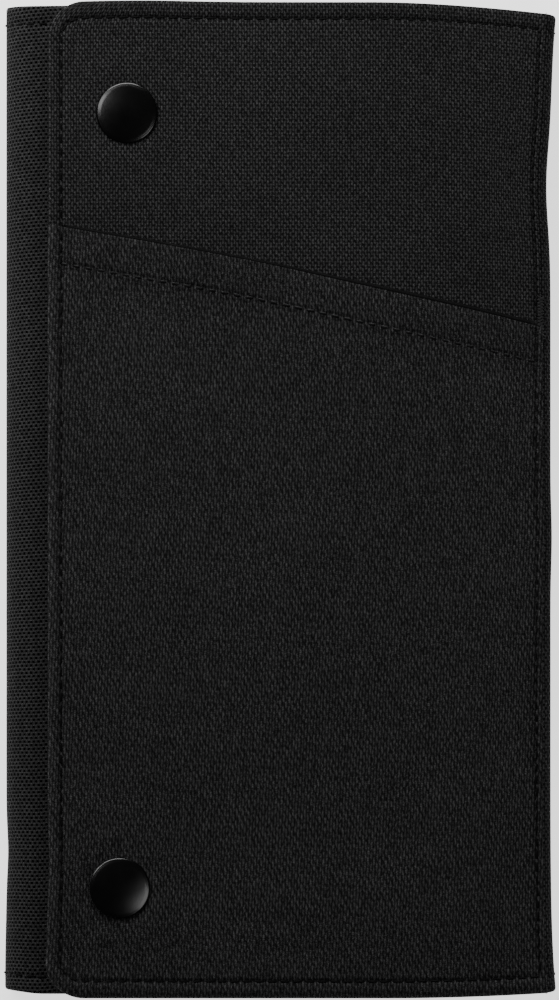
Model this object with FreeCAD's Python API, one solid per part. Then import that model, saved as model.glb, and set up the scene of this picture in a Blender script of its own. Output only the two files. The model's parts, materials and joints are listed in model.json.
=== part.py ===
"""Passport holder wallet: a folding fabric case that two press snaps keep shut.

Millimetres. The wallet lies closed on its back cover: +Z is up through the front cover, +Y is its long
side's upper end, and +X points at the spine. The origin is the middle of the back cover's outer face.
Four folds open it: back to spine, spine to front cover, back to flap side, and flap side to flap.
"""

import FreeCAD
import Part
import math
import os

V = FreeCAD.Vector
Z_AXIS = V(0, 0, 1)

# ---- driving dimensions ----------------------------------------------------------------------------
WIDTH = 130.0            # spine face to flap side face
LENGTH = 235.0           # front cover, end to end
THICKNESS = 20.0         # back face to the top of the lower snap cap

FABRIC = 0.5             # outer woven fabric
LINING = 0.4             # lining fabric
BACK_LINING = 0.5        # the back cover's lining, which the inside pockets are sewn to
BOARD = 1.2              # stiffener board
HEM = 0.3                # turned edge under the slash pocket
CAP_HEIGHT = 1.3         # snap cap above the fabric it sits on
SEAM = 6.0               # fabric past the board's edge, where the layers are sewn together
FIT = 0.1                # gap between a part and the hole or rim that holds it
CLEAR = 0.3              # gap between parts that move past each other

PANEL_LENGTH = 234.0     # back cover, spine and flap, end to end
FOLD_GAP = 0.3           # from a fold's axis to the panels that it joins
LAYER_GAP = 0.4          # from a side wall to the edge of every layer that stands beside it
FOLD_DEPTH = 0.6         # from the outer faces of two panels to the axis of the fold between them

# ---- heights of the closed stack -------------------------------------------------------------------
BACK_BOARD_Z = FABRIC
BACK_LINING_Z = BACK_BOARD_Z + BOARD
INSIDE_Z = BACK_LINING_Z + BACK_LINING

COVER_TOP = THICKNESS - CAP_HEIGHT           # outer face of the slash pocket
POCKET_Z = COVER_TOP - FABRIC
COVER_FACE = POCKET_Z - HEM                  # outer face of the front cover's own fabric
COVER_BOARD_TOP = COVER_FACE - FABRIC
COVER_BOARD_Z = COVER_BOARD_TOP - BOARD
COVER_INSIDE = COVER_BOARD_Z - LINING        # lining's inner face, looking down into the wallet

# ---- plan of the panels ----------------------------------------------------------------------------
SIDE = WIDTH / 2
AXIS_X = SIDE - FOLD_DEPTH
PANEL_X = AXIS_X - FOLD_GAP                  # edge of the back's and flap's outer fabric beside a fold
LAYER_X = SIDE - FABRIC - LINING - LAYER_GAP
COVER_LEFT = -54.5                           # front cover's free edge
COVER_CORNER = 8.5
BOARD_CORNER = 4.0
FLAP_TIP = -24.0
FLAP_CORNER = 6.0

# ---- snaps -----------------------------------------------------------------------------------------
SNAPS = {"upper": (-36.0, 91.0), "lower": (-37.7, -91.5)}
CAP_R = 7.2
CAP_EDGE = 0.45          # height of the cap's upright rim
CAP_BEVEL = 0.35
CAP_WALL = 0.5
POST_R = 1.6
POST_BORE_R = 1.1
POST_ROLL = 0.35         # height of the post's rolled end
POST_FLARE = 0.6         # how far the roll spreads past the post
SOCKET_R = 6.2
SOCKET_HEIGHT = 2.9
SOCKET_WALL = 0.4
SOCKET_BODY_R = 4.6
SOCKET_MOUTH_R = 3.2
SPRING_WIRE_R = 0.3
SPRING_R = 3.35
SPRING_SEAT = 0.15       # from the socket's lip to the spring
SPRING_GAP_DEG = 40
STUD_R = 6.0
STUD_SHOULDER_R = 5.2
STUD_RIM = 0.5
STUD_BASE_HEIGHT = 1.2
STUD_GAP = CLEAR
STUD_NUB_R = 2.7
STUD_NUB_HEIGHT = 1.9
EYELET_R = 5.8
EYELET_HEIGHT = 0.6

FLAP_TOP = COVER_INSIDE - SOCKET_HEIGHT - STUD_GAP - STUD_BASE_HEIGHT
FLAP_BOARD = 0.6
FLAP_BOARD_TOP = FLAP_TOP - FABRIC
FLAP_BOARD_Z = FLAP_BOARD_TOP - FLAP_BOARD
FLAP_UNDER = FLAP_BOARD_Z - LINING

# ---- passport pocket, on the back cover's lower half -----------------------------------------------
PASSPORT_X = 48.0
PASSPORT_BOTTOM = -112.0
PASSPORT_MOUTH = 4.0
PASSPORT_GAP = 4.6
GUSSET = 0.8

# ---- zipped coin pocket, on the back cover's upper half --------------------------------------------
COIN_LEFT = -48.0
COIN_RIGHT = 52.0
COIN_BOTTOM = 17.0
COIN_TOP = 112.0
COIN_RIM = 1.5
COIN_CAVITY = 1.2
ZIP_X = 38.0
ZIP_WINDOW = 5.8
ZIP_BOTTOM = 23.0
ZIP_TOP = 109.0
ZIP_TAPE = 0.4
ZIP_TAPE_WIDTH = 11.2
TAPE_TAIL = 4.0          # tape below the bottom stop
TAPE_HEAD = 1.5          # tape above the top stop
ZIP_CHANNEL = 1.4        # clear way between the two rows of teeth, for the slider's neck
TEETH_WIDTH = 1.6
TEETH_HEIGHT = 1.4
STOP_LENGTH = 2.0
STOP_WALL = 0.3
STOP_RISE = 0.4          # stop above the teeth that it clamps
SLIDER_Y = 102.0
SLIDER_LENGTH = 9.0
SLIDER_WIDTH = 8.0
SLIDER_PLATE = 0.6
SLIDER_NOSE = 2.0        # how much the slider narrows at each side of its nose
SLIDER_SHOULDER = 3.5    # from the nose to its full width
NECK_LENGTH = 3.0
NECK_SETBACK = 0.5       # from the slider's wide end to its neck
FLANGE_START = 4.2
FLANGE_END = 1.8
PIN_R = 0.5
PIN_RISE = 1.6
PIN_SETBACK = 2.0        # from the slider's middle towards its nose
PULL_LENGTH = 14.0
PULL_WIDTH = 5.4
PULL_THICKNESS = 0.8
PULL_TAB = 8.0           # length of the pull's wide part
PULL_NECK = 10.5         # from its tip to where it is narrow
PULL_HOLE_R = 1.3
PULL_HOLE_Y = 3.2        # from its tip
PULL_DROOP_DEG = 7.0     # its tip rests just above the teeth
EYE_R = 1.3
EYE_WIDTH = 2.6
EAR_WIDTH = 0.8

TAPE_Z = INSIDE_Z + COIN_CAVITY
COIN_PANEL_Z = TAPE_Z + ZIP_TAPE
TEETH_TOP = COIN_PANEL_Z + TEETH_HEIGHT
SLIDER_TOP = TEETH_TOP + CLEAR + SLIDER_PLATE
PIN_Y = SLIDER_Y - PIN_SETBACK
PIN_Z = SLIDER_TOP + PIN_RISE

# ---- front cover's inside --------------------------------------------------------------------------
CARD_LEFT = -28.5
CARD_RIGHT = 60.5
CARD_BOTTOM = 14.0
CARD_TOPS = (100.0, 84.0, 68.0)
TICKET_LEFT = -28.5
TICKET_TOP = 9.0
TICKET_BOTTOM = -112.0

# ---- slash pocket on the front ---------------------------------------------------------------------
SLASH_LEFT_Y = 65.0
SLASH_RIGHT_Y = 42.0
HEM_WIDTH = 8.5
SEWN_EDGE = 3.0

# ---- pen loop on the spine -------------------------------------------------------------------------
PEN_R = 4.8
PEN_WALL = 0.8
PEN_LENGTH = 30.0
PEN_Z = 8.4
PEN_TAB_INSET = 0.5      # the sewn tab is this much shorter than the bore at each end


# ---- helpers ---------------------------------------------------------------------------------------
def rounded_face(corners, z):
    """A flat face whose corners, each (x, y, radius), are rounded by tangent arcs."""
    edges = []
    entries = []
    exits = []
    middles = []
    for i, (x, y, radius) in enumerate(corners):
        here = V(x, y, z)
        before = V(corners[i - 1][0], corners[i - 1][1], z) - here
        following = corners[(i + 1) % len(corners)]
        after = V(following[0], following[1], z) - here
        before.normalize()
        after.normalize()
        half = before.getAngle(after) / 2
        reach = radius / math.tan(half)
        bisector = before + after
        bisector.normalize()
        entries.append(here + before * reach)
        exits.append(here + after * reach)
        middles.append(here + bisector * (radius / math.sin(half) - radius))
    for i, (_, _, radius) in enumerate(corners):
        if radius > 0:
            edges.append(Part.Arc(entries[i], middles[i], exits[i]).toShape())
        edges.append(Part.LineSegment(exits[i], entries[(i + 1) % len(corners)]).toShape())
    return Part.Face(Part.Wire(edges))


def sheet(corners, z_low, z_high):
    """A flat sheet with rounded corners between two heights."""
    return rounded_face(corners, z_low).extrude(V(0, 0, z_high - z_low))


def rectangle(x_low, x_high, y_low, y_high, left_radius=0.0, right_radius=0.0):
    """Corners of a rectangle, anticlockwise from its lower left, for rounded_face."""
    return [
        (x_low, y_low, left_radius),
        (x_high, y_low, right_radius),
        (x_high, y_high, right_radius),
        (x_low, y_high, left_radius),
    ]


def block(x_low, x_high, y_low, y_high, z_low, z_high):
    return Part.makeBox(x_high - x_low, y_high - y_low, z_high - z_low, V(x_low, y_low, z_low))


def revolved(profile, x, y):
    """A ring or disc: the closed profile of (radius, z) points turned about the vertical at x, y."""
    points = [V(radius, 0, z) for radius, z in profile]
    face = Part.Face(Part.makePolygon(points + points[:1]))
    solid = face.revolve(V(0, 0, 0), Z_AXIS, 360)
    solid.translate(V(x, y, 0))
    return solid


def drilled(shape, radius, places, z_low, z_high):
    """The shape with a vertical hole at each place."""
    for x, y in places:
        shape = shape.cut(Part.makeCylinder(radius, z_high - z_low + 2, V(x, y, z_low - 1), Z_AXIS))
    return shape


def lined(outer, board, board_low, board_high, sheet_low, sheet_high):
    """A lining: its sheet, and the turned seam allowance that fills the height of the board round it."""
    rim = sheet(outer, board_low, board_high).cut(sheet(board, board_low - 1, board_high + 1))
    return sheet(outer, sheet_low, sheet_high).fuse(rim).removeSplitter()


def grown(corners, by):
    """Rectangle corners moved outwards by a distance."""
    (x_low, y_low, left_radius), _, (x_high, y_high, right_radius), _ = corners
    return rectangle(x_low - by, x_high + by, y_low - by, y_high + by,
                     left_radius + by if left_radius else 0.0,
                     right_radius + by if right_radius else 0.0)


# ---- back cover ------------------------------------------------------------------------------------
def back_cover():
    half = PANEL_LENGTH / 2
    inner = rectangle(-LAYER_X, LAYER_X, -half, half)
    board = grown(inner, -SEAM)
    return {
        "back_outer_panel": sheet(rectangle(-PANEL_X, PANEL_X, -half, half), 0, FABRIC),
        "back_board": sheet(board, BACK_BOARD_Z, BACK_LINING_Z),
        "back_lining": lined(inner, grown(board, FIT), BACK_BOARD_Z, BACK_LINING_Z,
                             BACK_LINING_Z, INSIDE_Z),
    }


def passport_pocket():
    """A pocket open at its top edge, held off the lining by a gusset on its other three sides."""
    ceiling = INSIDE_Z + PASSPORT_GAP
    outside = block(-PASSPORT_X, PASSPORT_X, PASSPORT_BOTTOM, PASSPORT_MOUTH, INSIDE_Z, ceiling)
    inside = block(-PASSPORT_X + GUSSET, PASSPORT_X - GUSSET, PASSPORT_BOTTOM + GUSSET,
                   PASSPORT_MOUTH + 1, INSIDE_Z - 1, ceiling + 1)
    panel = rectangle(-PASSPORT_X, PASSPORT_X, PASSPORT_BOTTOM, PASSPORT_MOUTH)
    return {
        "passport_pocket_gusset": outside.cut(inside),
        "passport_pocket_panel": sheet(panel, ceiling, ceiling + FABRIC),
    }


# ---- coin pocket and its zip -----------------------------------------------------------------------
def coin_pocket():
    """The panel lies over the zip tapes, with a window for the teeth and its sewn edge turned down."""
    outline = rectangle(COIN_LEFT, COIN_RIGHT, COIN_BOTTOM, COIN_TOP)
    panel = sheet(outline, COIN_PANEL_Z, COIN_PANEL_Z + FABRIC)
    rim = sheet(outline, INSIDE_Z, COIN_PANEL_Z).cut(
        sheet(grown(outline, -COIN_RIM), INSIDE_Z - 1, COIN_PANEL_Z + 1))
    window = block(ZIP_X - ZIP_WINDOW / 2, ZIP_X + ZIP_WINDOW / 2, ZIP_BOTTOM, ZIP_TOP,
                   COIN_PANEL_Z - 1, COIN_PANEL_Z + FABRIC + 1)
    return {"coin_pocket_panel": panel.fuse(rim).removeSplitter().cut(window)}


def teeth_row(side):
    """One row of zip teeth as a rounded bead beside the slider's channel. side is -1 or 1."""
    near = ZIP_X + side * ZIP_CHANNEL / 2
    middle = near + side * TEETH_WIDTH / 2
    low = COIN_PANEL_Z
    shoulder = TEETH_TOP - TEETH_WIDTH / 4
    far = near + side * TEETH_WIDTH
    profile = Part.Wire([
        Part.LineSegment(V(near, ZIP_BOTTOM, low), V(near, ZIP_BOTTOM, shoulder)).toShape(),
        Part.Arc(V(near, ZIP_BOTTOM, shoulder), V(middle, ZIP_BOTTOM, TEETH_TOP),
                 V(far, ZIP_BOTTOM, shoulder)).toShape(),
        Part.LineSegment(V(far, ZIP_BOTTOM, shoulder), V(far, ZIP_BOTTOM, low)).toShape(),
        Part.LineSegment(V(far, ZIP_BOTTOM, low), V(near, ZIP_BOTTOM, low)).toShape(),
    ])
    return Part.Face(profile).extrude(V(0, ZIP_TOP - ZIP_BOTTOM, 0))


def tape_half(side):
    near = ZIP_X + side * ZIP_CHANNEL / 2
    far = near + side * ZIP_TAPE_WIDTH
    return block(min(near, far), max(near, far), ZIP_BOTTOM - TAPE_TAIL, ZIP_TOP + TAPE_HEAD,
                 TAPE_Z, COIN_PANEL_Z)


def zip_stop(y):
    """A clamped stop that bridges both rows of teeth under its own thin cover."""
    half = ZIP_CHANNEL / 2 + TEETH_WIDTH + STOP_WALL
    shell = block(ZIP_X - half, ZIP_X + half, y, y + STOP_LENGTH, COIN_PANEL_Z, TEETH_TOP + STOP_RISE)
    for side in (-1, 1):
        shell = shell.cut(teeth_row(side))
    return shell


def zip_chain():
    return {
        "zip_tape_left": tape_half(-1),
        "zip_tape_right": tape_half(1),
        "zip_teeth_left": teeth_row(-1),
        "zip_teeth_right": teeth_row(1),
        "zip_top_stop": zip_stop(ZIP_TOP - STOP_LENGTH),
        "zip_bottom_stop": zip_stop(ZIP_BOTTOM),
    }


def zip_slider():
    """Two plates joined by a neck that runs between the rows of teeth, with ears for the pull's pin."""
    half_width = SLIDER_WIDTH / 2
    narrow = half_width - SLIDER_NOSE
    low = SLIDER_Y - SLIDER_LENGTH / 2
    high = SLIDER_Y + SLIDER_LENGTH / 2
    shape = [
        (ZIP_X - narrow, low, 0.6),
        (ZIP_X + narrow, low, 0.6),
        (ZIP_X + half_width, low + SLIDER_SHOULDER, 1.2),
        (ZIP_X + half_width, high, 1.6),
        (ZIP_X - half_width, high, 1.6),
        (ZIP_X - half_width, low + SLIDER_SHOULDER, 1.2),
    ]
    inner_top = TAPE_Z - CLEAR
    body = sheet(shape, SLIDER_TOP - SLIDER_PLATE, SLIDER_TOP)
    body = body.fuse(sheet(shape, inner_top - SLIDER_PLATE, inner_top))
    neck = ZIP_CHANNEL / 2 - CLEAR
    neck_end = high - NECK_SETBACK
    body = body.fuse(block(ZIP_X - neck, ZIP_X + neck, neck_end - NECK_LENGTH, neck_end,
                           inner_top - SLIDER_PLATE / 2, SLIDER_TOP - SLIDER_PLATE / 2))
    for side in (-1, 1):
        flange_x = ZIP_X + side * (half_width - SLIDER_PLATE / 2) - SLIDER_PLATE / 2
        body = body.fuse(block(flange_x, flange_x + SLIDER_PLATE, low + FLANGE_START, high - FLANGE_END,
                               COIN_PANEL_Z + FABRIC + CLEAR, SLIDER_TOP - SLIDER_PLATE / 2))
    for side in (-1, 1):
        ear_x = ZIP_X + side * (EYE_WIDTH / 2 + CLEAR + EAR_WIDTH / 2) - EAR_WIDTH / 2
        body = body.fuse(Part.makeCylinder(EYE_R, EAR_WIDTH, V(ear_x, PIN_Y, PIN_Z), V(1, 0, 0)))
        body = body.fuse(block(ear_x, ear_x + EAR_WIDTH, PIN_Y - EYE_R, PIN_Y + EYE_R,
                               SLIDER_TOP - SLIDER_PLATE / 2, PIN_Z))
    pin_half = EYE_WIDTH / 2 + CLEAR + EAR_WIDTH / 2
    body = body.fuse(Part.makeCylinder(PIN_R, 2 * pin_half, V(ZIP_X - pin_half, PIN_Y, PIN_Z), V(1, 0, 0)))
    return {"zip_slider": body.removeSplitter()}


def zip_pull():
    """A flat tab with an eye round the slider's pin and a finger hole near its tip."""
    low = PIN_Z - PULL_THICKNESS / 2
    high = PIN_Z + PULL_THICKNESS / 2
    tip = PIN_Y - PULL_LENGTH
    stem = EYE_WIDTH / 2
    half = PULL_WIDTH / 2
    tab = sheet([
        (ZIP_X - half, tip, 2.4),
        (ZIP_X + half, tip, 2.4),
        (ZIP_X + half, tip + PULL_TAB, 1.5),
        (ZIP_X + stem, tip + PULL_NECK, 0.5),
        (ZIP_X + stem, PIN_Y, 0.0),
        (ZIP_X - stem, PIN_Y, 0.0),
        (ZIP_X - stem, tip + PULL_NECK, 0.5),
        (ZIP_X - half, tip + PULL_TAB, 1.5),
    ], low, high)
    eye = Part.makeCylinder(EYE_R, EYE_WIDTH, V(ZIP_X - stem, PIN_Y, PIN_Z), V(1, 0, 0))
    bore = Part.makeCylinder(PIN_R + CLEAR, EYE_WIDTH + 2, V(ZIP_X - stem - 1, PIN_Y, PIN_Z), V(1, 0, 0))
    tab = tab.fuse(eye).removeSplitter().cut(bore)
    pull = drilled(tab, PULL_HOLE_R, [(ZIP_X, tip + PULL_HOLE_Y)], low, high)
    pull.rotate(V(ZIP_X, PIN_Y, PIN_Z), V(1, 0, 0), PULL_DROOP_DEG)
    return {"zip_pull": pull}


# ---- spine -----------------------------------------------------------------------------------------
SPINE_LOW = FOLD_DEPTH + FOLD_GAP
COVER_AXIS_Z = COVER_TOP - FOLD_DEPTH
SPINE_HIGH = COVER_AXIS_Z - FOLD_GAP


def spine():
    half = PANEL_LENGTH / 2
    lining_x = SIDE - FABRIC - LINING
    centre_x = lining_x - PEN_WALL - PEN_R
    tube = Part.makeCylinder(PEN_R + PEN_WALL, PEN_LENGTH, V(centre_x, -PEN_LENGTH / 2, PEN_Z), V(0, 1, 0))
    tab = block(lining_x - PEN_WALL, lining_x, -PEN_LENGTH / 2, PEN_LENGTH / 2,
                PEN_Z - PEN_R + PEN_TAB_INSET, PEN_Z + PEN_R - PEN_TAB_INSET)
    bore = Part.makeCylinder(PEN_R, PEN_LENGTH + 2, V(centre_x, -PEN_LENGTH / 2 - 1, PEN_Z), V(0, 1, 0))
    return {
        "spine_outer_panel": block(SIDE - FABRIC, SIDE, -half, half, SPINE_LOW, SPINE_HIGH),
        "spine_lining": block(lining_x, SIDE - FABRIC, -half, half, SPINE_LOW, SPINE_HIGH),
        "pen_loop": tube.fuse(tab).cut(bore).removeSplitter(),
    }


# ---- front cover -----------------------------------------------------------------------------------
def front_cover():
    outer = rectangle(COVER_LEFT, LAYER_X, -LENGTH / 2, LENGTH / 2, COVER_CORNER)
    board = rectangle(COVER_LEFT + SEAM, LAYER_X - SEAM, -LENGTH / 2 + SEAM, LENGTH / 2 - SEAM,
                      BOARD_CORNER)
    places = list(SNAPS.values())
    hole = POST_R + FIT
    panel = sheet(outer, COVER_BOARD_TOP, COVER_FACE)
    stiffener = sheet(board, COVER_BOARD_Z, COVER_BOARD_TOP)
    lining = lined(outer, grown(board, FIT), COVER_BOARD_Z, COVER_BOARD_TOP, COVER_INSIDE, COVER_BOARD_Z)
    return {
        "front_outer_panel": drilled(panel, hole, places, COVER_BOARD_TOP, COVER_FACE),
        "front_board": drilled(stiffener, hole, places, COVER_BOARD_Z, COVER_BOARD_TOP),
        "front_lining": drilled(lining, hole, places, COVER_INSIDE, COVER_BOARD_TOP),
    }


def slash_pocket():
    """The pocket on the front: a panel sewn on three sides whose slanted top edge is hemmed."""
    bottom = -LENGTH / 2
    slope = (SLASH_RIGHT_Y - SLASH_LEFT_Y) / (LAYER_X - COVER_LEFT)
    drop = HEM_WIDTH * math.hypot(1, slope)

    def edge(x):
        return SLASH_LEFT_Y + slope * (x - COVER_LEFT)

    outline = [
        (COVER_LEFT, bottom, COVER_CORNER),
        (LAYER_X, bottom, 0.0),
        (LAYER_X, edge(LAYER_X), 0.0),
        (COVER_LEFT, edge(COVER_LEFT), 0.0),
    ]
    left = COVER_LEFT + SEWN_EDGE
    right = LAYER_X - SEWN_EDGE
    cavity = [
        (left, bottom + SEWN_EDGE, COVER_CORNER - SEWN_EDGE),
        (right, bottom + SEWN_EDGE, 0.0),
        (right, edge(right) + 2, 0.0),
        (left, edge(left) + 2, 0.0),
    ]
    hem_left = left + FIT
    hem_right = right - FIT
    hem = [
        (hem_left, edge(hem_left) - drop, 0.0),
        (hem_right, edge(hem_right) - drop, 0.0),
        (hem_right, edge(hem_right), 0.0),
        (hem_left, edge(hem_left), 0.0),
    ]
    sewn = sheet(outline, COVER_FACE, POCKET_Z).cut(sheet(cavity, COVER_FACE - 1, POCKET_Z + 1))
    panel = sheet(outline, POCKET_Z, COVER_TOP).fuse(sewn).removeSplitter()
    return {
        "slash_pocket_panel": drilled(panel, POST_R + FIT, [SNAPS["lower"]], COVER_FACE, COVER_TOP),
        "slash_pocket_hem": sheet(hem, COVER_FACE, POCKET_Z),
    }


def inside_pockets():
    """Three stepped card pockets, and a wide pocket for tickets below them."""
    parts = {}
    for i, top in enumerate(CARD_TOPS):
        high = COVER_INSIDE - i * LINING
        outline = rectangle(CARD_LEFT, CARD_RIGHT, CARD_BOTTOM, top)
        parts[f"card_pocket_{i + 1}"] = sheet(outline, high - LINING, high)
    ticket = rectangle(TICKET_LEFT, CARD_RIGHT, TICKET_BOTTOM, TICKET_TOP)
    parts["ticket_pocket_panel"] = sheet(ticket, COVER_INSIDE - FABRIC, COVER_INSIDE)
    return parts


# ---- flap ------------------------------------------------------------------------------------------
FLAP_AXIS_Z = FLAP_TOP - FOLD_DEPTH


def flap():
    half = PANEL_LENGTH / 2
    high = FLAP_AXIS_Z - FOLD_GAP
    inner = -SIDE + FABRIC + LINING
    outer = rectangle(-PANEL_X, FLAP_TIP, -half, half, 0.0, FLAP_CORNER)
    layer = rectangle(-LAYER_X, FLAP_TIP, -half, half, 0.0, FLAP_CORNER)
    board = rectangle(-LAYER_X + SEAM, FLAP_TIP - SEAM, -half + SEAM, half - SEAM)
    places = list(SNAPS.values())
    hole = POST_R + FIT
    lining = lined(layer, grown(board, FIT), FLAP_BOARD_Z, FLAP_BOARD_TOP, FLAP_UNDER, FLAP_BOARD_Z)
    return {
        "flap_side_outer_panel": block(-SIDE, -SIDE + FABRIC, -half, half, SPINE_LOW, high),
        "flap_side_lining": block(-SIDE + FABRIC, inner, -half, half, SPINE_LOW, high),
        "flap_outer_panel": drilled(sheet(outer, FLAP_BOARD_TOP, FLAP_TOP), hole, places,
                                    FLAP_BOARD_TOP, FLAP_TOP),
        "flap_board": drilled(sheet(board, FLAP_BOARD_Z, FLAP_BOARD_TOP), hole, places,
                              FLAP_BOARD_Z, FLAP_BOARD_TOP),
        "flap_lining": drilled(lining, hole, places, FLAP_UNDER, FLAP_BOARD_TOP),
    }


# ---- snaps -----------------------------------------------------------------------------------------
def snap_cap(x, y, fabric_top):
    """A domed cap whose hollow post runs down through the cover and is rolled over in the socket."""
    under = COVER_INSIDE - SOCKET_WALL
    rolled = under - POST_ROLL
    flare = POST_R + POST_FLARE
    top = fabric_top + CAP_HEIGHT
    post_top = top - CAP_WALL
    rise = CAP_HEIGHT - CAP_EDGE
    dome_r = (CAP_R ** 2 + rise ** 2) / (2 * rise)
    part_way = V(CAP_R / 2, 0, top - dome_r + math.sqrt(dome_r ** 2 - CAP_R ** 2 / 4))
    rim = V(CAP_R, 0, fabric_top + CAP_EDGE)
    arc = Part.Arc(rim, part_way, V(0, 0, top))
    points = [
        V(0, 0, top), V(0, 0, post_top), V(POST_BORE_R, 0, post_top), V(POST_BORE_R, 0, rolled),
        V(flare, 0, rolled), V(flare, 0, under), V(POST_R, 0, under),
        V(POST_R, 0, fabric_top), V(CAP_R - CAP_BEVEL, 0, fabric_top), rim,
    ]
    edges = [Part.LineSegment(a, b).toShape() for a, b in zip(points, points[1:])]
    face = Part.Face(Part.Wire(edges + [arc.toShape()]))
    solid = face.revolve(V(0, 0, 0), Z_AXIS, 360)
    solid.translate(V(x, y, 0))
    return solid


def snap_socket(x, y):
    """A pressed cup, mouth down, clamped to the lining by the cap's post."""
    top = COVER_INSIDE
    bottom = top - SOCKET_HEIGHT
    body_r = SOCKET_BODY_R
    wall = SOCKET_WALL
    return revolved([
        (POST_R + FIT, top), (SOCKET_R, top), (SOCKET_R, top - wall), (body_r, top - wall),
        (body_r, bottom), (SOCKET_MOUTH_R, bottom), (SOCKET_MOUTH_R, bottom + wall),
        (body_r - wall, bottom + wall), (body_r - wall, top - wall), (POST_R + FIT, top - wall),
    ], x, y)


def snap_spring(x, y):
    """The split ring of wire in the socket that grips the stud."""
    z = COVER_INSIDE - SOCKET_HEIGHT + SOCKET_WALL + SPRING_WIRE_R + SPRING_SEAT
    wire = Part.Wire(Part.makeCircle(SPRING_WIRE_R, V(SPRING_R, 0, z), V(0, 1, 0)))
    solid = Part.Face(wire).revolve(V(0, 0, 0), Z_AXIS, 360 - SPRING_GAP_DEG)
    solid.translate(V(x, y, 0))
    return solid


def snap_stud(x, y):
    """The stud on the flap's outer face, which stands up into the socket."""
    base = FLAP_TOP
    step = base + STUD_RIM
    shoulder = base + STUD_BASE_HEIGHT
    top = shoulder + STUD_NUB_HEIGHT
    wall = 0.4
    return revolved([
        (POST_R + FIT, base), (STUD_R, base), (STUD_R, step), (STUD_SHOULDER_R, shoulder),
        (STUD_NUB_R - 0.25, shoulder), (STUD_NUB_R - 0.25, shoulder + 0.6), (STUD_NUB_R, shoulder + 1.1),
        (STUD_NUB_R - 0.4, top), (0, top), (0, top - wall), (STUD_NUB_R - 0.8, top - wall),
        (STUD_NUB_R - 0.7, step), (POST_R + FIT, step),
    ], x, y)


def snap_eyelet(x, y):
    """The eyelet on the flap's inner face, whose tube holds the stud."""
    top = FLAP_UNDER
    bottom = top - EYELET_HEIGHT
    tube_top = FLAP_TOP + 0.5
    return revolved([
        (POST_BORE_R, bottom), (EYELET_R - 0.4, bottom), (EYELET_R, bottom + 0.35), (EYELET_R, top),
        (POST_R, top), (POST_R, tube_top), (POST_BORE_R, tube_top),
    ], x, y)


def snaps():
    fabric_tops = {"upper": COVER_FACE, "lower": COVER_TOP}
    parts = {}
    for name, (x, y) in SNAPS.items():
        parts[f"{name}_snap_cap"] = snap_cap(x, y, fabric_tops[name])
        parts[f"{name}_snap_socket"] = snap_socket(x, y)
        parts[f"{name}_snap_spring"] = snap_spring(x, y)
        parts[f"{name}_snap_stud"] = snap_stud(x, y)
        parts[f"{name}_snap_eyelet"] = snap_eyelet(x, y)
    return parts


def main():
    os.makedirs("parts", exist_ok=True)
    makers = (back_cover, passport_pocket, coin_pocket, zip_chain, zip_slider, zip_pull, spine,
              front_cover, slash_pocket, inside_pockets, flap, snaps)
    for maker in makers:
        for name, shape in maker().items():
            if not shape.isValid():
                raise ValueError(f"{name} is not a valid shape")
            shape.exportStep(f"parts/{name}.step")
            box = shape.BoundBox
            print(f"{name}: {len(shape.Solids)} solid, closed {shape.isClosed()}, {shape.Volume:.1f} mm3, "
                  f"x {box.XMin:.2f} to {box.XMax:.2f}, y {box.YMin:.2f} to {box.YMax:.2f}, "
                  f"z {box.ZMin:.2f} to {box.ZMax:.2f}")


main()
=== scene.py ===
"""Looks of the passport holder wallet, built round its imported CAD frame.

Shapes are worked out in millimetres and turned into metres when a mesh is made. The closed wallet lies on
its back: x runs from the flap to the spine, y along the long side, z up through the front cover.
"""

import json
import math

import bmesh
import bpy
import numpy as np
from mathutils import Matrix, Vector


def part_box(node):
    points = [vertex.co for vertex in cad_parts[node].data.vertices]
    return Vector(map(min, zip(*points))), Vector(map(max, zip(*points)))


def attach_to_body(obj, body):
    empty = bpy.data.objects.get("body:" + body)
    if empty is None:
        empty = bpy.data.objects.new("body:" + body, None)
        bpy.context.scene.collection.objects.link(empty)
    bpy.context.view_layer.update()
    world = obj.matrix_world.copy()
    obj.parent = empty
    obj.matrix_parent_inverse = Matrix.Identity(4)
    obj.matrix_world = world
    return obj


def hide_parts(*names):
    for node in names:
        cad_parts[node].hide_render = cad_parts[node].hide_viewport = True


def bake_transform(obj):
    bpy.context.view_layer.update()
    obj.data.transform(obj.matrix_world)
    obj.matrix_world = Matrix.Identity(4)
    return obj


MM = 0.001

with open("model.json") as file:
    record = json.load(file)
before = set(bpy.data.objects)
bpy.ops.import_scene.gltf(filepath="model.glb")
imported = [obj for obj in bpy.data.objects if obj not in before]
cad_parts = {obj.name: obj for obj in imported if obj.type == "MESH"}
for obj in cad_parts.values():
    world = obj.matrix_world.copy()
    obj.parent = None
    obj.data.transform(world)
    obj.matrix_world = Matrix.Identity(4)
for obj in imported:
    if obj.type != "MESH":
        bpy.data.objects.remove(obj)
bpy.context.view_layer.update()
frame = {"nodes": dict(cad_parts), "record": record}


def box(node):
    """A node's lowest and highest corners, in millimetres."""
    low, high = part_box(node)
    return [c / MM for c in low], [c / MM for c in high]


# ---- sizes read from the frame
(COVER_LEFT, _, _), (COVER_RIGHT, COVER_HALF, COVER_FACE) = box("front_outer_panel")
_, (SPINE_X, BACK_HALF, _) = box("spine_outer_panel")
(SIDE_X, _, _), (_, FLAP_HALF, _) = box("flap_side_outer_panel")
_, (FLAP_TIP, _, FLAP_TOP) = box("flap_outer_panel")
(_, _, FLAP_UNDER), _ = box("flap_lining")
_, (_, _, BACK_INSIDE) = box("back_lining")
(_, _, COVER_INSIDE), _ = box("front_lining")
_, (_, SLASH_START, POCKET_FACE) = box("slash_pocket_panel")
CAPS = {}
for snap_name in ("upper", "lower"):
    CAPS[snap_name] = [(low + high) / 2 for low, high in zip(*box(f"{snap_name}_snap_cap"))][:2]

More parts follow.
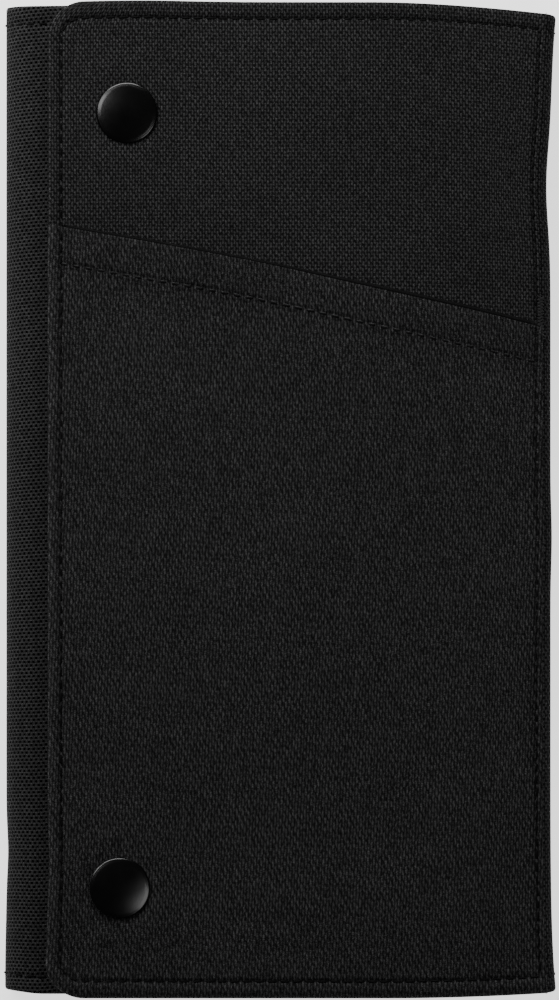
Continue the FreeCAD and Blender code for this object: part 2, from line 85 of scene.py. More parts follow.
CLOTH = 0.42             # outer fabric's thickness
LINING = 0.3
FOLD_R = 2.8             # outer radius where the fabric turns round an edge
FLAP_FOLD_R = 8.0        # the flap rolls over in a wide curve
EDGE_R = 0.9             # rounding of a sewn edge
FLAT_EDGE_R = 0.35       # rounding of a flat pocket's edge
COVER_CORNER = 8.5
FLAP_CORNER = 6.0
SEAM_INSET = 4.0         # from the wallet's ends to the stitches along them
SPINE_MID = COVER_FACE / 2
BACK_SEAM = BACK_INSIDE / 2
COVER_SEAM = (COVER_FACE + COVER_INSIDE) / 2
FLAP_SEAM = (FLAP_TOP + FLAP_UNDER) / 2
WALL = 0.9               # side wall's thickness, outer fabric and lining
FAR = 9.0                # beyond the reach of any stitch's pull

STITCH_PITCH = 3.0
STITCH_TOP = COVER_HALF - SEAM_INSET
STITCH_LEFT = COVER_LEFT + 3.0
STITCH_RIGHT = COVER_RIGHT - 2.1
STITCH_CORNER = 5.0
SLASH_FALL = 23.4        # how much lower the slash pocket's mouth is at the spine than at the free edge
SLASH_BOW = 0.85
SLASH_COS = math.cos(math.atan(SLASH_FALL / (COVER_RIGHT - COVER_LEFT)))
HEM = 8.4                # from the mouth to the hem's stitches
COIL_PITCH = 1.3

TOP_DROOP = 3.1          # how far the cover's corners at the spine, and the flap's, are drawn in
BOTTOM_DROOP = 1.4
FLAP_DROOP = 0.7
COVER_FLARE = 0.9        # how far the left side spreads towards its lower end
FLAP_FLARE = 0.3
SPINE_SLACK = 0.95


# ---- numbers
def smooth(t):
    """0 to 1 with level ends as t goes from 0 to 1."""
    t = np.clip(t, 0, 1)
    return t * t * (3 - 2 * t)


def bump(x, centre, width):
    """A bell of height 1."""
    return np.exp(-((np.asarray(x, float) - centre) / width) ** 2)


def wander(x, y, wavelength, seed):
    """Slow random relief between about -1 and 1."""
    rng = np.random.default_rng(seed)
    total = 0
    for _ in range(7):
        angle = rng.uniform(0, 2 * math.pi)
        length = wavelength * rng.uniform(0.7, 1.6)
        phase = rng.uniform(0, 2 * math.pi)
        total = total + np.sin(2 * math.pi * (x * math.cos(angle) + y * math.sin(angle)) / length + phase)
    return total / 4


def curl(distance, radius):
    """How far a rounded edge has dropped, from 1 at the edge to 0 one radius in."""
    t = 1 - np.clip(np.asarray(distance, float) / radius, 0, 1)
    return 1 - np.sqrt(np.clip(1 - t * t, 0, 1))


def steps(low, high, spacing, low_edge=0.0, high_edge=0.0):
    """Stations from low to high, crowded together within an edge's radius of either end."""
    turn = 1 - np.cos(np.linspace(0, math.pi / 2, 8)[:-1])
    start, stop = low + low_edge, high - high_edge
    count = max(1, round((stop - start) / spacing))
    parts = [np.linspace(start, stop, count + 1)]
    if low_edge:
        parts.insert(0, low + low_edge * turn)
    if high_edge:
        parts.append(high - high_edge * turn[::-1])
    return np.concatenate(parts)


def finer(stations, places):
    """The stations with close ones added where stitches pull the cloth down."""
    close = np.array([-1.15, -0.85, -0.6, -0.38, -0.19, 0, 0.19, 0.38, 0.6, 0.85, 1.15])
    for place in places:
        if stations[0] < place < stations[-1]:
            apart = stations[np.abs(stations - place) > 1.3]
            stations = np.sort(np.concatenate([apart, place + close]))
    return stations


def unit(vectors):
    return vectors / np.linalg.norm(vectors, axis=-1, keepdims=True)


def run_along(points):
    """Each point's distance along a line of them."""
    return np.concatenate([[0], np.cumsum(np.linalg.norm(np.diff(points, axis=0), axis=1))])


def spread(u, v):
    """A grid of places on a cloth."""
    return np.stack(np.broadcast_arrays(u, v), axis=-1)


def soft_outline(points):
    """The slack of the real cloth: both ends droop towards the spine, and the two long sides wander. The
    flap flares less than the cover above it, so that it lies on the table when it is folded out."""
    x, y, z = points[..., 0], points[..., 1], points[..., 2]
    droop_top = TOP_DROOP * np.clip((x - 22) / 43, 0, 1.05) ** 1.75 - 0.4 * bump(x, -33, 16)
    droop_bottom = BOTTOM_DROOP * np.clip((x - 25) / 40, 0, 1.05) ** 2 + FLAP_DROOP * smooth((-55.5 - x) / 9)
    share = np.where(y > 0, droop_top, droop_bottom) / COVER_HALF
    right = 1.3 * np.abs(y / COVER_HALF) ** 9 - SPINE_SLACK - 1.0 * bump(y, 76, 13) + 0.3 * bump(y, -9, 9)
    flare = FLAP_FLARE + (COVER_FLARE - FLAP_FLARE) * smooth((z - 12) / 4)
    left = 0.4 * bump(y, -84, 7) - flare * smooth((-y - 92) / 22)
    moved = points.copy()
    moved[..., 0] = x + right * smooth((x - 46) / 16) + left * smooth((-46 - x) / 14)
    moved[..., 1] = y * (1 - share)
    return moved


# ---- meshes
def add_mesh(name, verts, faces, uv=None):
    """A mesh object from points in millimetres. uv holds a place on the cloth for each point, in metres."""
    mesh = bpy.data.meshes.new(name)
    mesh.from_pydata((np.asarray(verts, float) * MM).tolist(), [], [tuple(f) for f in faces])
    mesh.polygons.foreach_set("use_smooth", [True] * len(mesh.polygons))
    if uv is not None:
        layer = mesh.uv_layers.new(name="Cloth")
        corners = np.zeros(len(mesh.loops), int)
        mesh.loops.foreach_get("vertex_index", corners)
        layer.data.foreach_set("uv", np.asarray(uv, float)[corners].ravel())
    mesh.update()
    obj = bpy.data.objects.new(name, mesh)
    bpy.context.scene.collection.objects.link(obj)
    return obj


def dress(obj, material, body=None, replaces=()):
    """Gives a piece its material and body, and hides the CAD nodes that it stands for."""
    obj.data.materials.append(material)
    if body:
        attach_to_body(obj, body)
    if replaces:
        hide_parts(*replaces)
    return obj


def grid_normals(points):
    normal = np.cross(np.gradient(points, axis=0), np.gradient(points, axis=1))
    return normal / np.maximum(np.linalg.norm(normal, axis=-1, keepdims=True), 1e-9)


def quads(ids, flip=False):
    """The quads of a grid of point numbers."""
    a, b, c, d = ids[:-1, :-1], ids[1:, :-1], ids[1:, 1:], ids[:-1, 1:]
    order = (a, d, c, b) if flip else (a, b, c, d)
    return np.stack([o.ravel() for o in order], axis=1)


def ring_ids(rings, sides):
    """Point numbers of a tube's rings, each closed on its first point."""
    ids = np.arange(rings * sides).reshape(rings, sides)
    return np.concatenate([ids, ids[:, :1]], axis=1)


def strand_faces(rings, sides):
    """The faces of a tube with capped ends."""
    ids = ring_ids(rings, sides)
    return [tuple(f) for f in quads(ids)] + [tuple(ids[0, -2::-1]), tuple(ids[-1, :-1])]


def cloth(name, points, thickness, uv, inwards=-1):
    """A closed sheet of cloth. points is a grid on its outer side; inwards is -1 where the grid's own
    normals point out. thickness is a number or a grid of them."""
    depth = np.asarray(thickness, float)
    if depth.ndim:
        depth = depth[..., None]
    lining = points + grid_normals(points) * inwards * depth
    outer = np.arange(points[..., 0].size).reshape(points.shape[:2])
    inner = outer + outer.size
    flip = inwards > 0
    faces = [quads(outer, flip), quads(inner, not flip)]
    for edge, turned in ((np.s_[0], False), (np.s_[-1], True), (np.s_[:, 0], True), (np.s_[:, -1], False)):
        faces.append(quads(np.stack([outer[edge], inner[edge]]), turned != flip))
    verts = np.concatenate([points.reshape(-1, 3), lining.reshape(-1, 3)])
    places = np.concatenate([uv.reshape(-1, 2)] * 2) * MM
    return add_mesh(name, verts, np.concatenate(faces), places)


def lathe(name, profile, x, y, segments=72):
    """A turned piece: (radius, z) points, first and last on the axis or joined up, about a vertical."""
    ring = np.linspace(0, 2 * math.pi, segments, endpoint=False)
    profile = np.asarray(profile, float)
    grid = np.zeros((len(profile), segments, 3))
    grid[..., 0] = x + profile[:, :1] * np.cos(ring)
    grid[..., 1] = y + profile[:, :1] * np.sin(ring)
    grid[..., 2] = profile[:, 1:]
    ids = ring_ids(len(profile), segments)
    if profile[0, 0] > 0:
        ids = np.concatenate([ids, ids[:1]])
    obj = add_mesh(name, grid.reshape(-1, 3), quads(ids, True))
    work = bmesh.new()
    work.from_mesh(obj.data)
    bmesh.ops.remove_doubles(work, verts=work.verts, dist=0.002 * MM)
    bmesh.ops.recalc_face_normals(work, faces=work.faces)
    work.to_mesh(obj.data)
    work.free()
    obj.data.polygons.foreach_set("use_smooth", [True] * len(obj.data.polygons))
    return obj


def rounded(points, radii, count=5):
    """A closed outline of (r, z) corners with each corner rounded by its radius."""
    out = []
    for i, corner in enumerate(points):
        radius = radii[i]
        here = np.array(corner, float)
        if not radius:
            out.append(here)
            continue
        before = unit(np.array(points[i - 1], float) - here)
        after = unit(np.array(points[(i + 1) % len(points)], float) - here)
        half = math.acos(np.clip(before @ after, -1, 1)) / 2
        reach = radius / math.tan(half)
        middle = unit(before + after) * radius / math.sin(half)
        first, last = before * reach - middle, after * reach - middle
        for t in np.linspace(0, 1, count + 1):
            out.append(here + middle + unit(first * (1 - t) + last * t) * radius)
    return np.array(out)


def tube_arrays(path, radius, sides, flat=1.0):
    """Points and faces of a round or flattened strand. radius may be one number or one for each point."""
    path = np.asarray(path, float)
    tangent = unit(np.gradient(path, axis=0))
    side = np.cross(tangent, [0.0, 0.0, 1.0])
    side[np.linalg.norm(side, axis=1) < 1e-3] = [1, 0, 0]
    side = unit(side)
    rise = np.cross(side, tangent)
    ring = np.linspace(0, 2 * math.pi, sides, endpoint=False)[None, :, None]
    size = np.broadcast_to(np.asarray(radius, float), (len(path),))[:, None, None]
    verts = path[:, None] + size * (np.cos(ring) * side[:, None] + np.sin(ring) * rise[:, None] * flat)
    return verts.reshape(-1, 3), strand_faces(len(path), sides)


def gather(name, pieces):
    """One object from several (verts, faces) pairs."""
    verts, faces, start = [], [], 0
    for some, joined in pieces:
        verts.append(some)
        faces += [tuple(i + start for i in f) for f in joined]
        start += len(some)
    return add_mesh(name, np.concatenate(verts), faces)


# ---- cloth that turns corners
def turned_path(corners, radii, spacing, side, first=0.0, free_start=False, free_end=False, seams=()):
    """Stations along a line in the xz plane whose corners are rounded: place, outward normal and the
    distance along the cloth, which starts at first. A free start or end is a sewn edge, and seams are the
    x of stitches that run along the wallet."""
    pieces = []
    points = [np.array(c, float) for c in corners]
    start = points[0]
    final = len(points) - 1
    for i in range(1, len(points)):
        radius = radii[i - 1] if i < final else 0
        ahead = unit(points[i] - points[i - 1])
        stop = points[i] - ahead * radius
        straight = np.linalg.norm(stop - start)
        stations = np.zeros(1)
        if straight > 0.01:
            stations = steps(0, straight, spacing, EDGE_R if free_start and i == 1 else 0,
                             EDGE_R if free_end and i == final else 0)
        if abs(ahead[0]) > 0.5:
            stations = finer(stations, [(x - start[0]) / ahead[0] for x in seams])
        pieces += [start + ahead * run for run in stations[(1 if pieces else 0):]]
        if radius:
            beyond = unit(points[i + 1] - points[i])
            centre = stop + beyond * radius
            for angle in np.linspace(0, math.pi / 2, max(8, round(radius * 2.2)) + 1)[1:]:
                pieces.append(centre - beyond * radius * math.cos(angle) + ahead * radius * math.sin(angle))
            start = points[i] + beyond * radius
    line = np.array(pieces)
    heading = unit(np.gradient(line, axis=0))
    normal = np.stack([-heading[:, 1], heading[:, 0]], axis=1) * side
    return line, normal, first + run_along(line)


def inset_from(x, y, left, half, corner):
    """How far inside an outline a point is: a free edge at left with rounded corners, and two ends."""
    from_side, from_end = x - left, half - np.abs(y)
    in_corner = (from_side < corner) & (from_end < corner)
    round_part = corner - np.hypot(corner - from_side, corner - from_end)
    return np.where(in_corner, round_part, np.minimum(from_side, from_end))


def swept(line, normal, ys, depth, half, relief, free, corner):
    """A grid of points on cloth that follows a path in xz and runs the wallet's length, with ys as shares
    of half. Its edges curl in by depth. A free edge, at x = free, has rounded corners."""
    half, depth = half[:, None], depth[:, None]
    x = np.broadcast_to(line[:, :1], (len(line), len(ys))).copy()
    y = ys[None, :] * half
    inset = half - np.abs(y)
    if free is not None:
        side = 1 if line[:, 0].max() > free + 1 else -1
        reach = np.clip(corner - inset, 0, corner)
        shift = corner - np.sqrt(corner ** 2 - reach ** 2)
        x += side * shift * np.clip(1 - side * (x - free) / 38, 0, 1) ** 2 * np.abs(normal[:, 1:])
        inset = inset_from(side * x, y, side * free, half, corner)
    offset = -depth * curl(inset, EDGE_R)
    if relief is not None:
        offset = offset + relief(x, y) * smooth(np.abs(normal[:, 1:]))
    return np.stack([x + normal[:, :1] * offset, y, line[:, 1:] + normal[:, 1:] * offset], axis=-1)


# ---- stitches
def resample(points, pitch):
    """Points a pitch apart along a line, the pitch stretched to fit, and the line's direction there."""
    points = np.asarray(points, float)
    run = run_along(points)
    count = max(1, round(run[-1] / pitch))
    middles = (np.arange(count) + 0.5) * run[-1] / count
    ahead = run[-1] / count / 4
    place, before, after = (
        np.stack([np.interp(at, run, points[:, i]) for i in range(3)], axis=1)
        for at in (middles, middles - ahead, middles + ahead)
    )
    return place, unit(after - before)


def stitch_arrays(points, up, pitch=STITCH_PITCH, length=2.35, radius=0.2, sink=0.1):
    """Thread between needle holes: one short arched strand for each stitch along a line of points."""
    rings, sides, crown = 7, 6, 0.24
    place, heading = resample(points, pitch)
    side = unit(np.cross(heading, np.broadcast_to(np.asarray(up, float), place.shape)))
    rise = np.cross(side, heading)
    t = np.linspace(-1, 1, rings)
    arch = np.sqrt(np.clip(1 - t ** 4, 0, 1)) * crown - crown - sink + 0.06
    thick = radius * np.sqrt(np.clip(1.02 - t ** 6, 0.05, 1))
    ring = np.linspace(0, 2 * math.pi, sides, endpoint=False)
    faces = strand_faces(rings, sides)
    rng = np.random.default_rng(len(place))
    pieces = []
    for p, h, s, r in zip(place, heading, side, rise):
        line = p + (h + s * rng.normal(0, 0.04)) * (t[:, None] * length / 2) + r * arch[:, None]
        circle = np.cos(ring)[:, None] * s + np.sin(ring)[:, None] * r
        verts = line[:, None] + thick[:, None, None] * circle[None]
        pieces.append((verts.reshape(-1, 3), faces))
    return pieces


# ---- materials
class Look:
    """A material with its node tree, and short ways to add nodes to it."""

    def __init__(self, name, color, roughness, specular=0.5, metallic=0.0, coat=0.0):
        self.material = bpy.data.materials.new(name)
        self.material.use_nodes = True
        self.tree = self.material.node_tree
        self.shader = self.tree.nodes["Principled BSDF"]
        self.color = color
        self.set("Base Color", (*color, 1))
        self.set("Roughness", roughness)
        self.set("Specular IOR Level", specular)
        self.set("Metallic", metallic)
        self.set("Coat Weight", coat)
        self.set("Coat Roughness", 0.08)

    def set(self, socket, value):
        self.shader.inputs[socket].default_value = value

    def node(self, kind, **settings):
        made = self.tree.nodes.new(kind)
        for key, value in settings.items():
            setattr(made, key, value)
        return made

    def feed(self, socket, value):
        if isinstance(value, bpy.types.NodeSocket):
            self.tree.links.new(value, socket)
        else:
            socket.default_value = value

    def math(self, operation, *values, kind="ShaderNodeMath"):
        made = self.node(kind, operation=operation)
        for socket, value in zip(made.inputs, values):
            self.feed(socket, value)
        return made.outputs[0]

    def vector(self, operation, *values):
        return self.math(operation, *values, kind="ShaderNodeVectorMath")

    def times(self, value, *others):
        for other in others:
            value = self.math("MULTIPLY", value, other)
        return value

    def apart(self, place):
        """A place's X, Y and Z."""
        made = self.node("ShaderNodeSeparateXYZ")
        self.feed(made.inputs[0], place)
        return made.outputs

    def dice(self, place):
        """A random value for each whole-numbered place."""
        made = self.node("ShaderNodeTexWhiteNoise", noise_dimensions="2D")
        self.feed(made.inputs["Vector"], self.vector("FLOOR", place))
        return made.outputs["Value"]

    def remap(self, value, low, high, to_low, to_high):
        made = self.node("ShaderNodeMapRange")
        for socket, given in zip(made.inputs, (value, low, high, to_low, to_high)):
            self.feed(socket, given)
        return made.outputs[0]

    def around_one(self, value, low, high, swing):
        return self.remap(value, low, high, 1 - swing, 1 + swing)

    def noise(self, place, scale, detail=2.0, roughness=0.5):
        made = self.node("ShaderNodeTexNoise")
        self.feed(made.inputs["Vector"], place)
        made.inputs["Scale"].default_value = scale
        made.inputs["Detail"].default_value = detail
        made.inputs["Roughness"].default_value = roughness
        return made.outputs["Fac"], made.outputs["Color"]

    def paint(self, tone):
        """The base colour, lightened and darkened by tone, which is 1 on average."""
        scaled = self.node("ShaderNodeVectorMath", operation="SCALE")
        scaled.inputs[0].default_value = self.color
        self.feed(scaled.inputs["Scale"], tone)
        self.tree.links.new(scaled.outputs[0], self.shader.inputs["Base Color"])

    def raise_by(self, height, millimetres, strength=1.0):
        made = self.node("ShaderNodeBump")
        made.inputs["Distance"].default_value = millimetres * MM
        made.inputs["Strength"].default_value = strength
        self.feed(made.inputs["Height"], height)
        self.tree.links.new(made.outputs[0], self.shader.inputs["Normal"])

    def on_cloth(self):
        return self.node("ShaderNodeUVMap", uv_map="Cloth").outputs[0]

    def on_object(self):
        return self.node("ShaderNodeTexCoord").outputs["Object"]


def woven(name, color, pitch, relief, gap, slots, wide, tall, echo=0.3, unevenness=0.2, skew=(0.0, 0.0),
          mottle=0.1, speckle=0.2, fuzziness=0.35, diagonal_shade=0.0, roughness=0.8, specular=0.035):
    """Plain-weave cloth, its colour painted with the yarns' sheen and shade. pitch is the yarns' spacing
    across and along the cloth, in millimetres, relief the height of a yarn's crown, and gap how light the
    hollows between yarns look under the painted shade there, the crowns being painted lightest as painted
    sheen. At every other crossing the crossways yarn lies on top: slots is how dark painted shade makes it
    look, wide and tall where it begins and is darkest, out from the edges of the crossing, and echo how much
    of it shows at the crossings between. skew is how far the yarns lean from square, and unevenness, mottle,
    speckle and fuzziness how unlike one another the yarns' paths, the crossings, the yarns' halves and the
    fibres are.
    diagonal_shade paints shade along the slots' diagonals."""
    look = Look(name, color, roughness, specular)
    place = look.on_cloth()
    _, drift = look.noise(place, 1000, 2)
    drift = look.vector("SCALE", look.vector("SUBTRACT", drift, (0.5, 0.5, 0.5)))
    drift.node.inputs["Scale"].default_value = unevenness
    x, y, _ = look.apart(place)
    whole = look.node("ShaderNodeCombineXYZ")
    for i, leaning in enumerate((look.math("ADD", x, look.times(y, skew[0])),
                                 look.math("ADD", y, look.times(x, skew[1])))):
        look.feed(whole.inputs[i], look.times(leaning, 1 / (pitch[i] * MM)))
    yarns = look.vector("ADD", whole.outputs[0], drift)
    u, v, _ = look.apart(yarns)
    across, along = [look.math("SINE", look.times(look.math("FRACT", yarn), math.pi)) for yarn in (u, v)]
    under = look.math("FLOORED_MODULO", look.math("ADD", look.math("FLOOR", u), look.math("FLOOR", v)), 2.0)
    slot = look.times(look.remap(across, *wide, 0.0, 1.0), look.remap(along, *tall, 0.0, 1.0),
                      look.remap(under, 0.0, 1.0, echo, 1.0))
    diagonal = look.math("COSINE", look.times(look.math("ADD", u, v), math.pi))
    halves = look.vector("MULTIPLY", yarns, (2, 2, 2))
    fuzz, _ = look.noise(place, 4300, 1)
    patch, _ = look.noise(place, 28, 3)
    # Tone: painted sheen on the yarns' crowns and painted shade in the hollows between them, in the crossways
    # yarns' slots and along their diagonals, then random mottle, speckle, fuzz and patches
    look.paint(look.times(
        look.remap(across, 0.0, 1.0, gap[0], 1.0),
        look.remap(along, 0.0, 1.0, gap[1], 1.0),
        look.math("SUBTRACT", 1.0, look.times(slot, slots)),
        look.math("SUBTRACT", 1.0, look.times(diagonal, diagonal_shade)),
        look.around_one(look.dice(yarns), 0.0, 1.0, mottle),
        look.around_one(look.dice(halves), 0.0, 1.0, speckle),
        look.around_one(fuzz, 0.28, 0.72, fuzziness),
        look.around_one(patch, 0.3, 0.7, 0.06),
    ))
    height = look.math("SUBTRACT", look.math("ADD", look.math("SQRT", across), look.math("SQRT", along)),
                       look.times(slot, 0.9))
    rough = look.remap(look.math("ADD", patch, height), 0.3, 2.6, min(1.0, roughness + 0.15), roughness - 0.1)
    look.tree.links.new(rough, look.shader.inputs["Roughness"])
    look.raise_by(look.math("ADD", height, look.times(fuzz, 0.3)), relief)
    return look.material


def ribbed(name, color, pitch, relief, roughness=0.6, axis=0):
    """Tape or elastic with ribs across its length."""
    look = Look(name, color, roughness, 0.35)
    place = look.on_cloth()
    wave = look.times(look.apart(place)[axis], math.pi / (pitch * MM))
    rib = look.math("ABSOLUTE", look.math("SINE", wave))
    grain, _ = look.noise(place, 2400, 3)
    # The tone paints light on the ribs' crowns and shade between them, with a random grain
    look.paint(look.times(look.remap(rib, 0.0, 1.0, 0.55, 1.25), look.around_one(grain, 0.25, 0.75, 0.2)))
    look.raise_by(look.math("ADD", rib, look.times(grain, 0.3)), relief)
    return look.material


def grainy(name, color, roughness, grain_mm, relief, specular=0.5, metallic=0.0, coat=0.0, variation=0.15):
    """Lacquer, metal, thread or moulded plastic with a fine surface grain and slight wear in its gloss."""
    look = Look(name, color, roughness, specular, metallic, coat)
    place = look.on_object()
    grain, _ = look.noise(place, 1 / (grain_mm * MM), 3, 0.6)
    cloud, _ = look.noise(place, 180, 2)
    look.paint(look.around_one(grain, 0.3, 0.7, variation))
    mixed = look.math("ADD", look.times(grain, 0.35), look.times(cloud, 0.65))
    rough = look.remap(mixed, 0.3, 0.7, roughness * 0.85, min(1.0, roughness * 1.2))
    look.tree.links.new(rough, look.shader.inputs["Roughness"])
    look.raise_by(grain, relief)
    return look.material


FLAP_WEAVE = woven("oxford_flap", (0.0485, 0.0485, 0.049), (0.59, 0.86), 0.06, (0.6, 1.0), 1.0,
                   (-0.2, 0.3), (0.2, 0.7), echo=0.5, skew=(0, -0.08), mottle=0.2, fuzziness=0.3)
FRONT_WEAVE = woven("oxford_front", (0.043, 0.043, 0.0435), (0.66, 0.865), 0.04, (0.05, 0.9), 0.78,
                    (0.0, 0.5), (0.2, 0.8), echo=0.45, unevenness=0.38, speckle=0.45, fuzziness=0.7,
                    diagonal_shade=0.12)
POCKET_WEAVE = woven("oxford_pocket", (0.034, 0.034, 0.0344), (0.7, 1.26), 0.04, (0.15, 0.9), 0.5,
                     (0.0, 0.5), (0.3, 1.0), echo=0.3, unevenness=0.38, skew=(-0.046, 0.085), speckle=0.5,
                     fuzziness=0.9, diagonal_shade=0.24)
TAFFETA = woven("taffeta", (0.022, 0.022, 0.023), (0.3, 0.3), 0.03, (0.5, 0.5), 0.3,
                (0.1, 0.6), (0.1, 0.6), roughness=0.5, specular=0.4)
INNER_WEAVE = woven("inner_nylon", (0.02, 0.02, 0.021), (0.4, 0.4), 0.05, (0.4, 0.4), 0.4,
                    (0.1, 0.6), (0.1, 0.6), roughness=0.6, specular=0.3)
TAPE = ribbed("grosgrain", (0.013, 0.013, 0.0135), 0.5, 0.08)
ELASTIC = ribbed("elastic", (0.012, 0.012, 0.0125), 0.9, 0.16, axis=1)
# Black thread painted near black so that it also carries the shade in the grooves the stitches pull: partly
# the thread's own colour, partly painted shade
THREAD_AND_GROOVE_SHADE = grainy("thread", (0.0015, 0.0015, 0.0015), 0.7, 0.12, 0.03, 0.12, variation=0.4)
TACK = grainy("tack_thread", (0.014, 0.014, 0.0142), 0.6, 0.12, 0.03, 0.2, variation=0.4)
PALE_THREAD = grainy("glossy_thread", (0.028, 0.028, 0.0285), 0.5, 0.12, 0.03, 0.3, variation=0.4)
LACQUER = grainy("black_lacquer", (0.0006, 0.0006, 0.00062), 0.23, 0.5, 0.001, 0.55)
BLACK_NICKEL = grainy("black_nickel", (0.09, 0.09, 0.095), 0.24, 0.3, 0.004, metallic=1.0)
SPRING_STEEL = grainy("spring_steel", (0.55, 0.55, 0.56), 0.3, 0.15, 0.004, metallic=1.0)
NYLON = grainy("nylon", (0.013, 0.013, 0.0135), 0.38, 0.2, 0.006)
ZINC = grainy("black_zinc", (0.012, 0.012, 0.0125), 0.3, 0.35, 0.006, 0.6, coat=0.3)
BOARD = grainy("board", (0.16, 0.16, 0.16), 0.8, 0.4, 0.03, 0.3)


# ---- the front's relief
def slash_y(x):
    """Height of the slash pocket's slanted edge."""
    fall = SLASH_FALL * (x - COVER_LEFT) / (COVER_RIGHT - COVER_LEFT)
    return SLASH_START - fall + SLASH_BOW * bump(x, -6, 26)


def from_stitches(x, y):
    """Distance to the line of stitches round the front cover."""
    ring = np.abs(inset_from(x, y, STITCH_LEFT, STITCH_TOP, STITCH_CORNER))
    ring = np.where(x > STITCH_RIGHT, FAR, ring)
    side = np.where(np.abs(y) < STITCH_TOP, np.abs(x - STITCH_RIGHT), FAR)
    return np.minimum(ring, side)


def pull(distance, run, width=0.5, depth=0.42):
    """The groove that a line of stitches pulls into cloth, deepest at the needle holes."""
    holes = 1 + 0.35 * np.cos(2 * math.pi * run / STITCH_PITCH)
    return -depth * np.exp(-(distance / width) ** 2) * holes


def near_caps(x, y):
    """Cloth pinched under the snap caps, and the small ridges it throws up round them."""
    total = 0
    for cx, cy in CAPS.values():
        away = np.hypot(x - cx, y - cy)
        ripple = 1 + 0.5 * np.cos(5 * np.arctan2(y - cy, x - cx) + cy)
        pinch = 0.4 * np.exp(-(away / 8.2) ** 4)
        total = total - pinch + 0.16 * ripple * np.exp(-((away - 11.5) / 2.6) ** 2)
    return total


def rim(x, y, edge):
    """The ridge round the front's edge, and the groove that the stitches inside it pull."""
    return 0.2 * bump(edge, 1.9, 1.1) + pull(from_stitches(x, y), x + y)


def cover_relief(x, y):
    """Rise and fall of the front cover's own cloth, which can't sink into the board under it."""
    above = y - slash_y(x)
    slack = 0.2 * wander(x, y, 60, 4) + 0.05 * wander(x, y, 17, 9)
    sag = 0.35 + 0.65 * bump(x, -20, 16) + 0.65 * smooth((x - 20) / 25)
    slack = slack - 0.5 * bump(above, 1.5, 6) * sag
    slack = slack + 0.3 * bump(y, 92, 16) * bump(x, 18, 34)
    edge = inset_from(x, y, COVER_LEFT, COVER_HALF, COVER_CORNER)
    inside = smooth(edge / 12)
    mouth = -0.37 * np.exp(-(np.maximum(above, 0) / 2.0) ** 2) * smooth((above + 7) / 4)
    slack = np.maximum(slack * inside + near_caps(x, y) + mouth, -0.38)
    return slack + rim(x, y, edge)


def slash_lift(x):
    """How far the pocket's edge stands off the cover, up to its sewn right-hand end."""
    return (0.3 + 0.6 * bump(x, -22, 14) + 0.6 * smooth((x - 18) / 18)) * smooth((62 - x) / 4)


def pocket_relief(x, y):
    """Rise and fall of the slash pocket's cloth."""
    below = (slash_y(x) - y) * SLASH_COS
    edge = inset_from(x, y, COVER_LEFT, COVER_HALF, COVER_CORNER)
    lip = slash_lift(x) * np.exp(-(below / 7) ** 2) - 0.3 * curl(below, 0.45)
    ridge = -0.24 * smooth((below - HEM - 0.2) / 1.4)
    hem = pull(below - HEM, x, 0.5, 0.3) + 0.12 * bump(below, HEM * 0.5, 3)
    slack = 0.2 * wander(x, y, 75, 12) + 0.07 * wander(x, y, 21, 3)
    slack = slack - 0.5 * bump(x, -40, 7) * bump(y, 46, 9) - 0.3 * bump(x + 0.7 * y, 27, 8) * bump(y, -31, 16)
    slack = slack - 0.3 * bump(x, -20, 26) * bump(y, -92, 18)
    slack = slack * smooth(edge / 12) * smooth(below / 10)
    return lip + ridge + hem + slack + rim(x, y, edge) + near_caps(x, y)


def flap_relief(x, y):
    ends = np.abs(FLAP_HALF - np.abs(y) - SEAM_INSET)
    tip = np.abs(inset_from(-x, y, SEAM_INSET - FLAP_TIP, FLAP_HALF - SEAM_INSET, 4))
    return 0.12 * wander(x, y, 45, 21) + pull(np.minimum(ends, tip), x + y, 0.8, 0.3)


# ---- outer cloth
def attach(piece, joint):
    """Rides on a body; given two bodies and the points in xz of a bend between them, it only has its
    transform baked into its mesh.
    """
    if isinstance(joint, str):
        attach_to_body(piece, joint)
    else:
        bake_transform(piece)


def sewn_cloth(name, corners, radii, spacing, side, half, depth, material, node, joint, slot="outer_fabric",
               relief=None, free=None, corner=0.0, thickness=CLOTH, row_spacing=1.5, first=0.0,
               free_start=False, free_end=False, seam=None, seams=(), sink=0.27):
    """A length of the wallet's cloth, which stands for a CAD node. half and depth say how far it reaches to
    either end and how far its ends curl in, as numbers along its run. joint is the body it rides on; given
    instead as two bodies with the points in xz of a bend, it leaves the piece on neither. seam says at which
    x there are stitches along its ends."""
    line, normal, run = turned_path(corners, radii, spacing, side, first, free_start, free_end, seams)
    share = (run - run[0]) / (run[-1] - run[0])
    depths, halves = [np.interp(share, np.linspace(0, 1, len(sizes)), sizes) for sizes in (depth, half)]
    widest = max(half)
    ys = steps(-widest, widest, row_spacing, EDGE_R, EDGE_R)
    ys = finer(ys, [SEAM_INSET - widest, widest - SEAM_INSET]) / widest
    points = swept(line, normal, ys, depths, halves, relief, free, corner)
    uv = spread(run[:, None], points[..., 1])
    points = soft_outline(points)
    facing = np.sum(grid_normals(points)[:, len(ys) // 2, [0, 2]] * normal)
    piece = cloth(name, points, thickness, uv, -1 if facing > 0 else 1)
    dress(piece, material, replaces=[node] if node else [])
    attach(piece, joint)
    if seam:
        end_seams(f"{name}_stitches", points, normal, widest, joint, seam, sink)


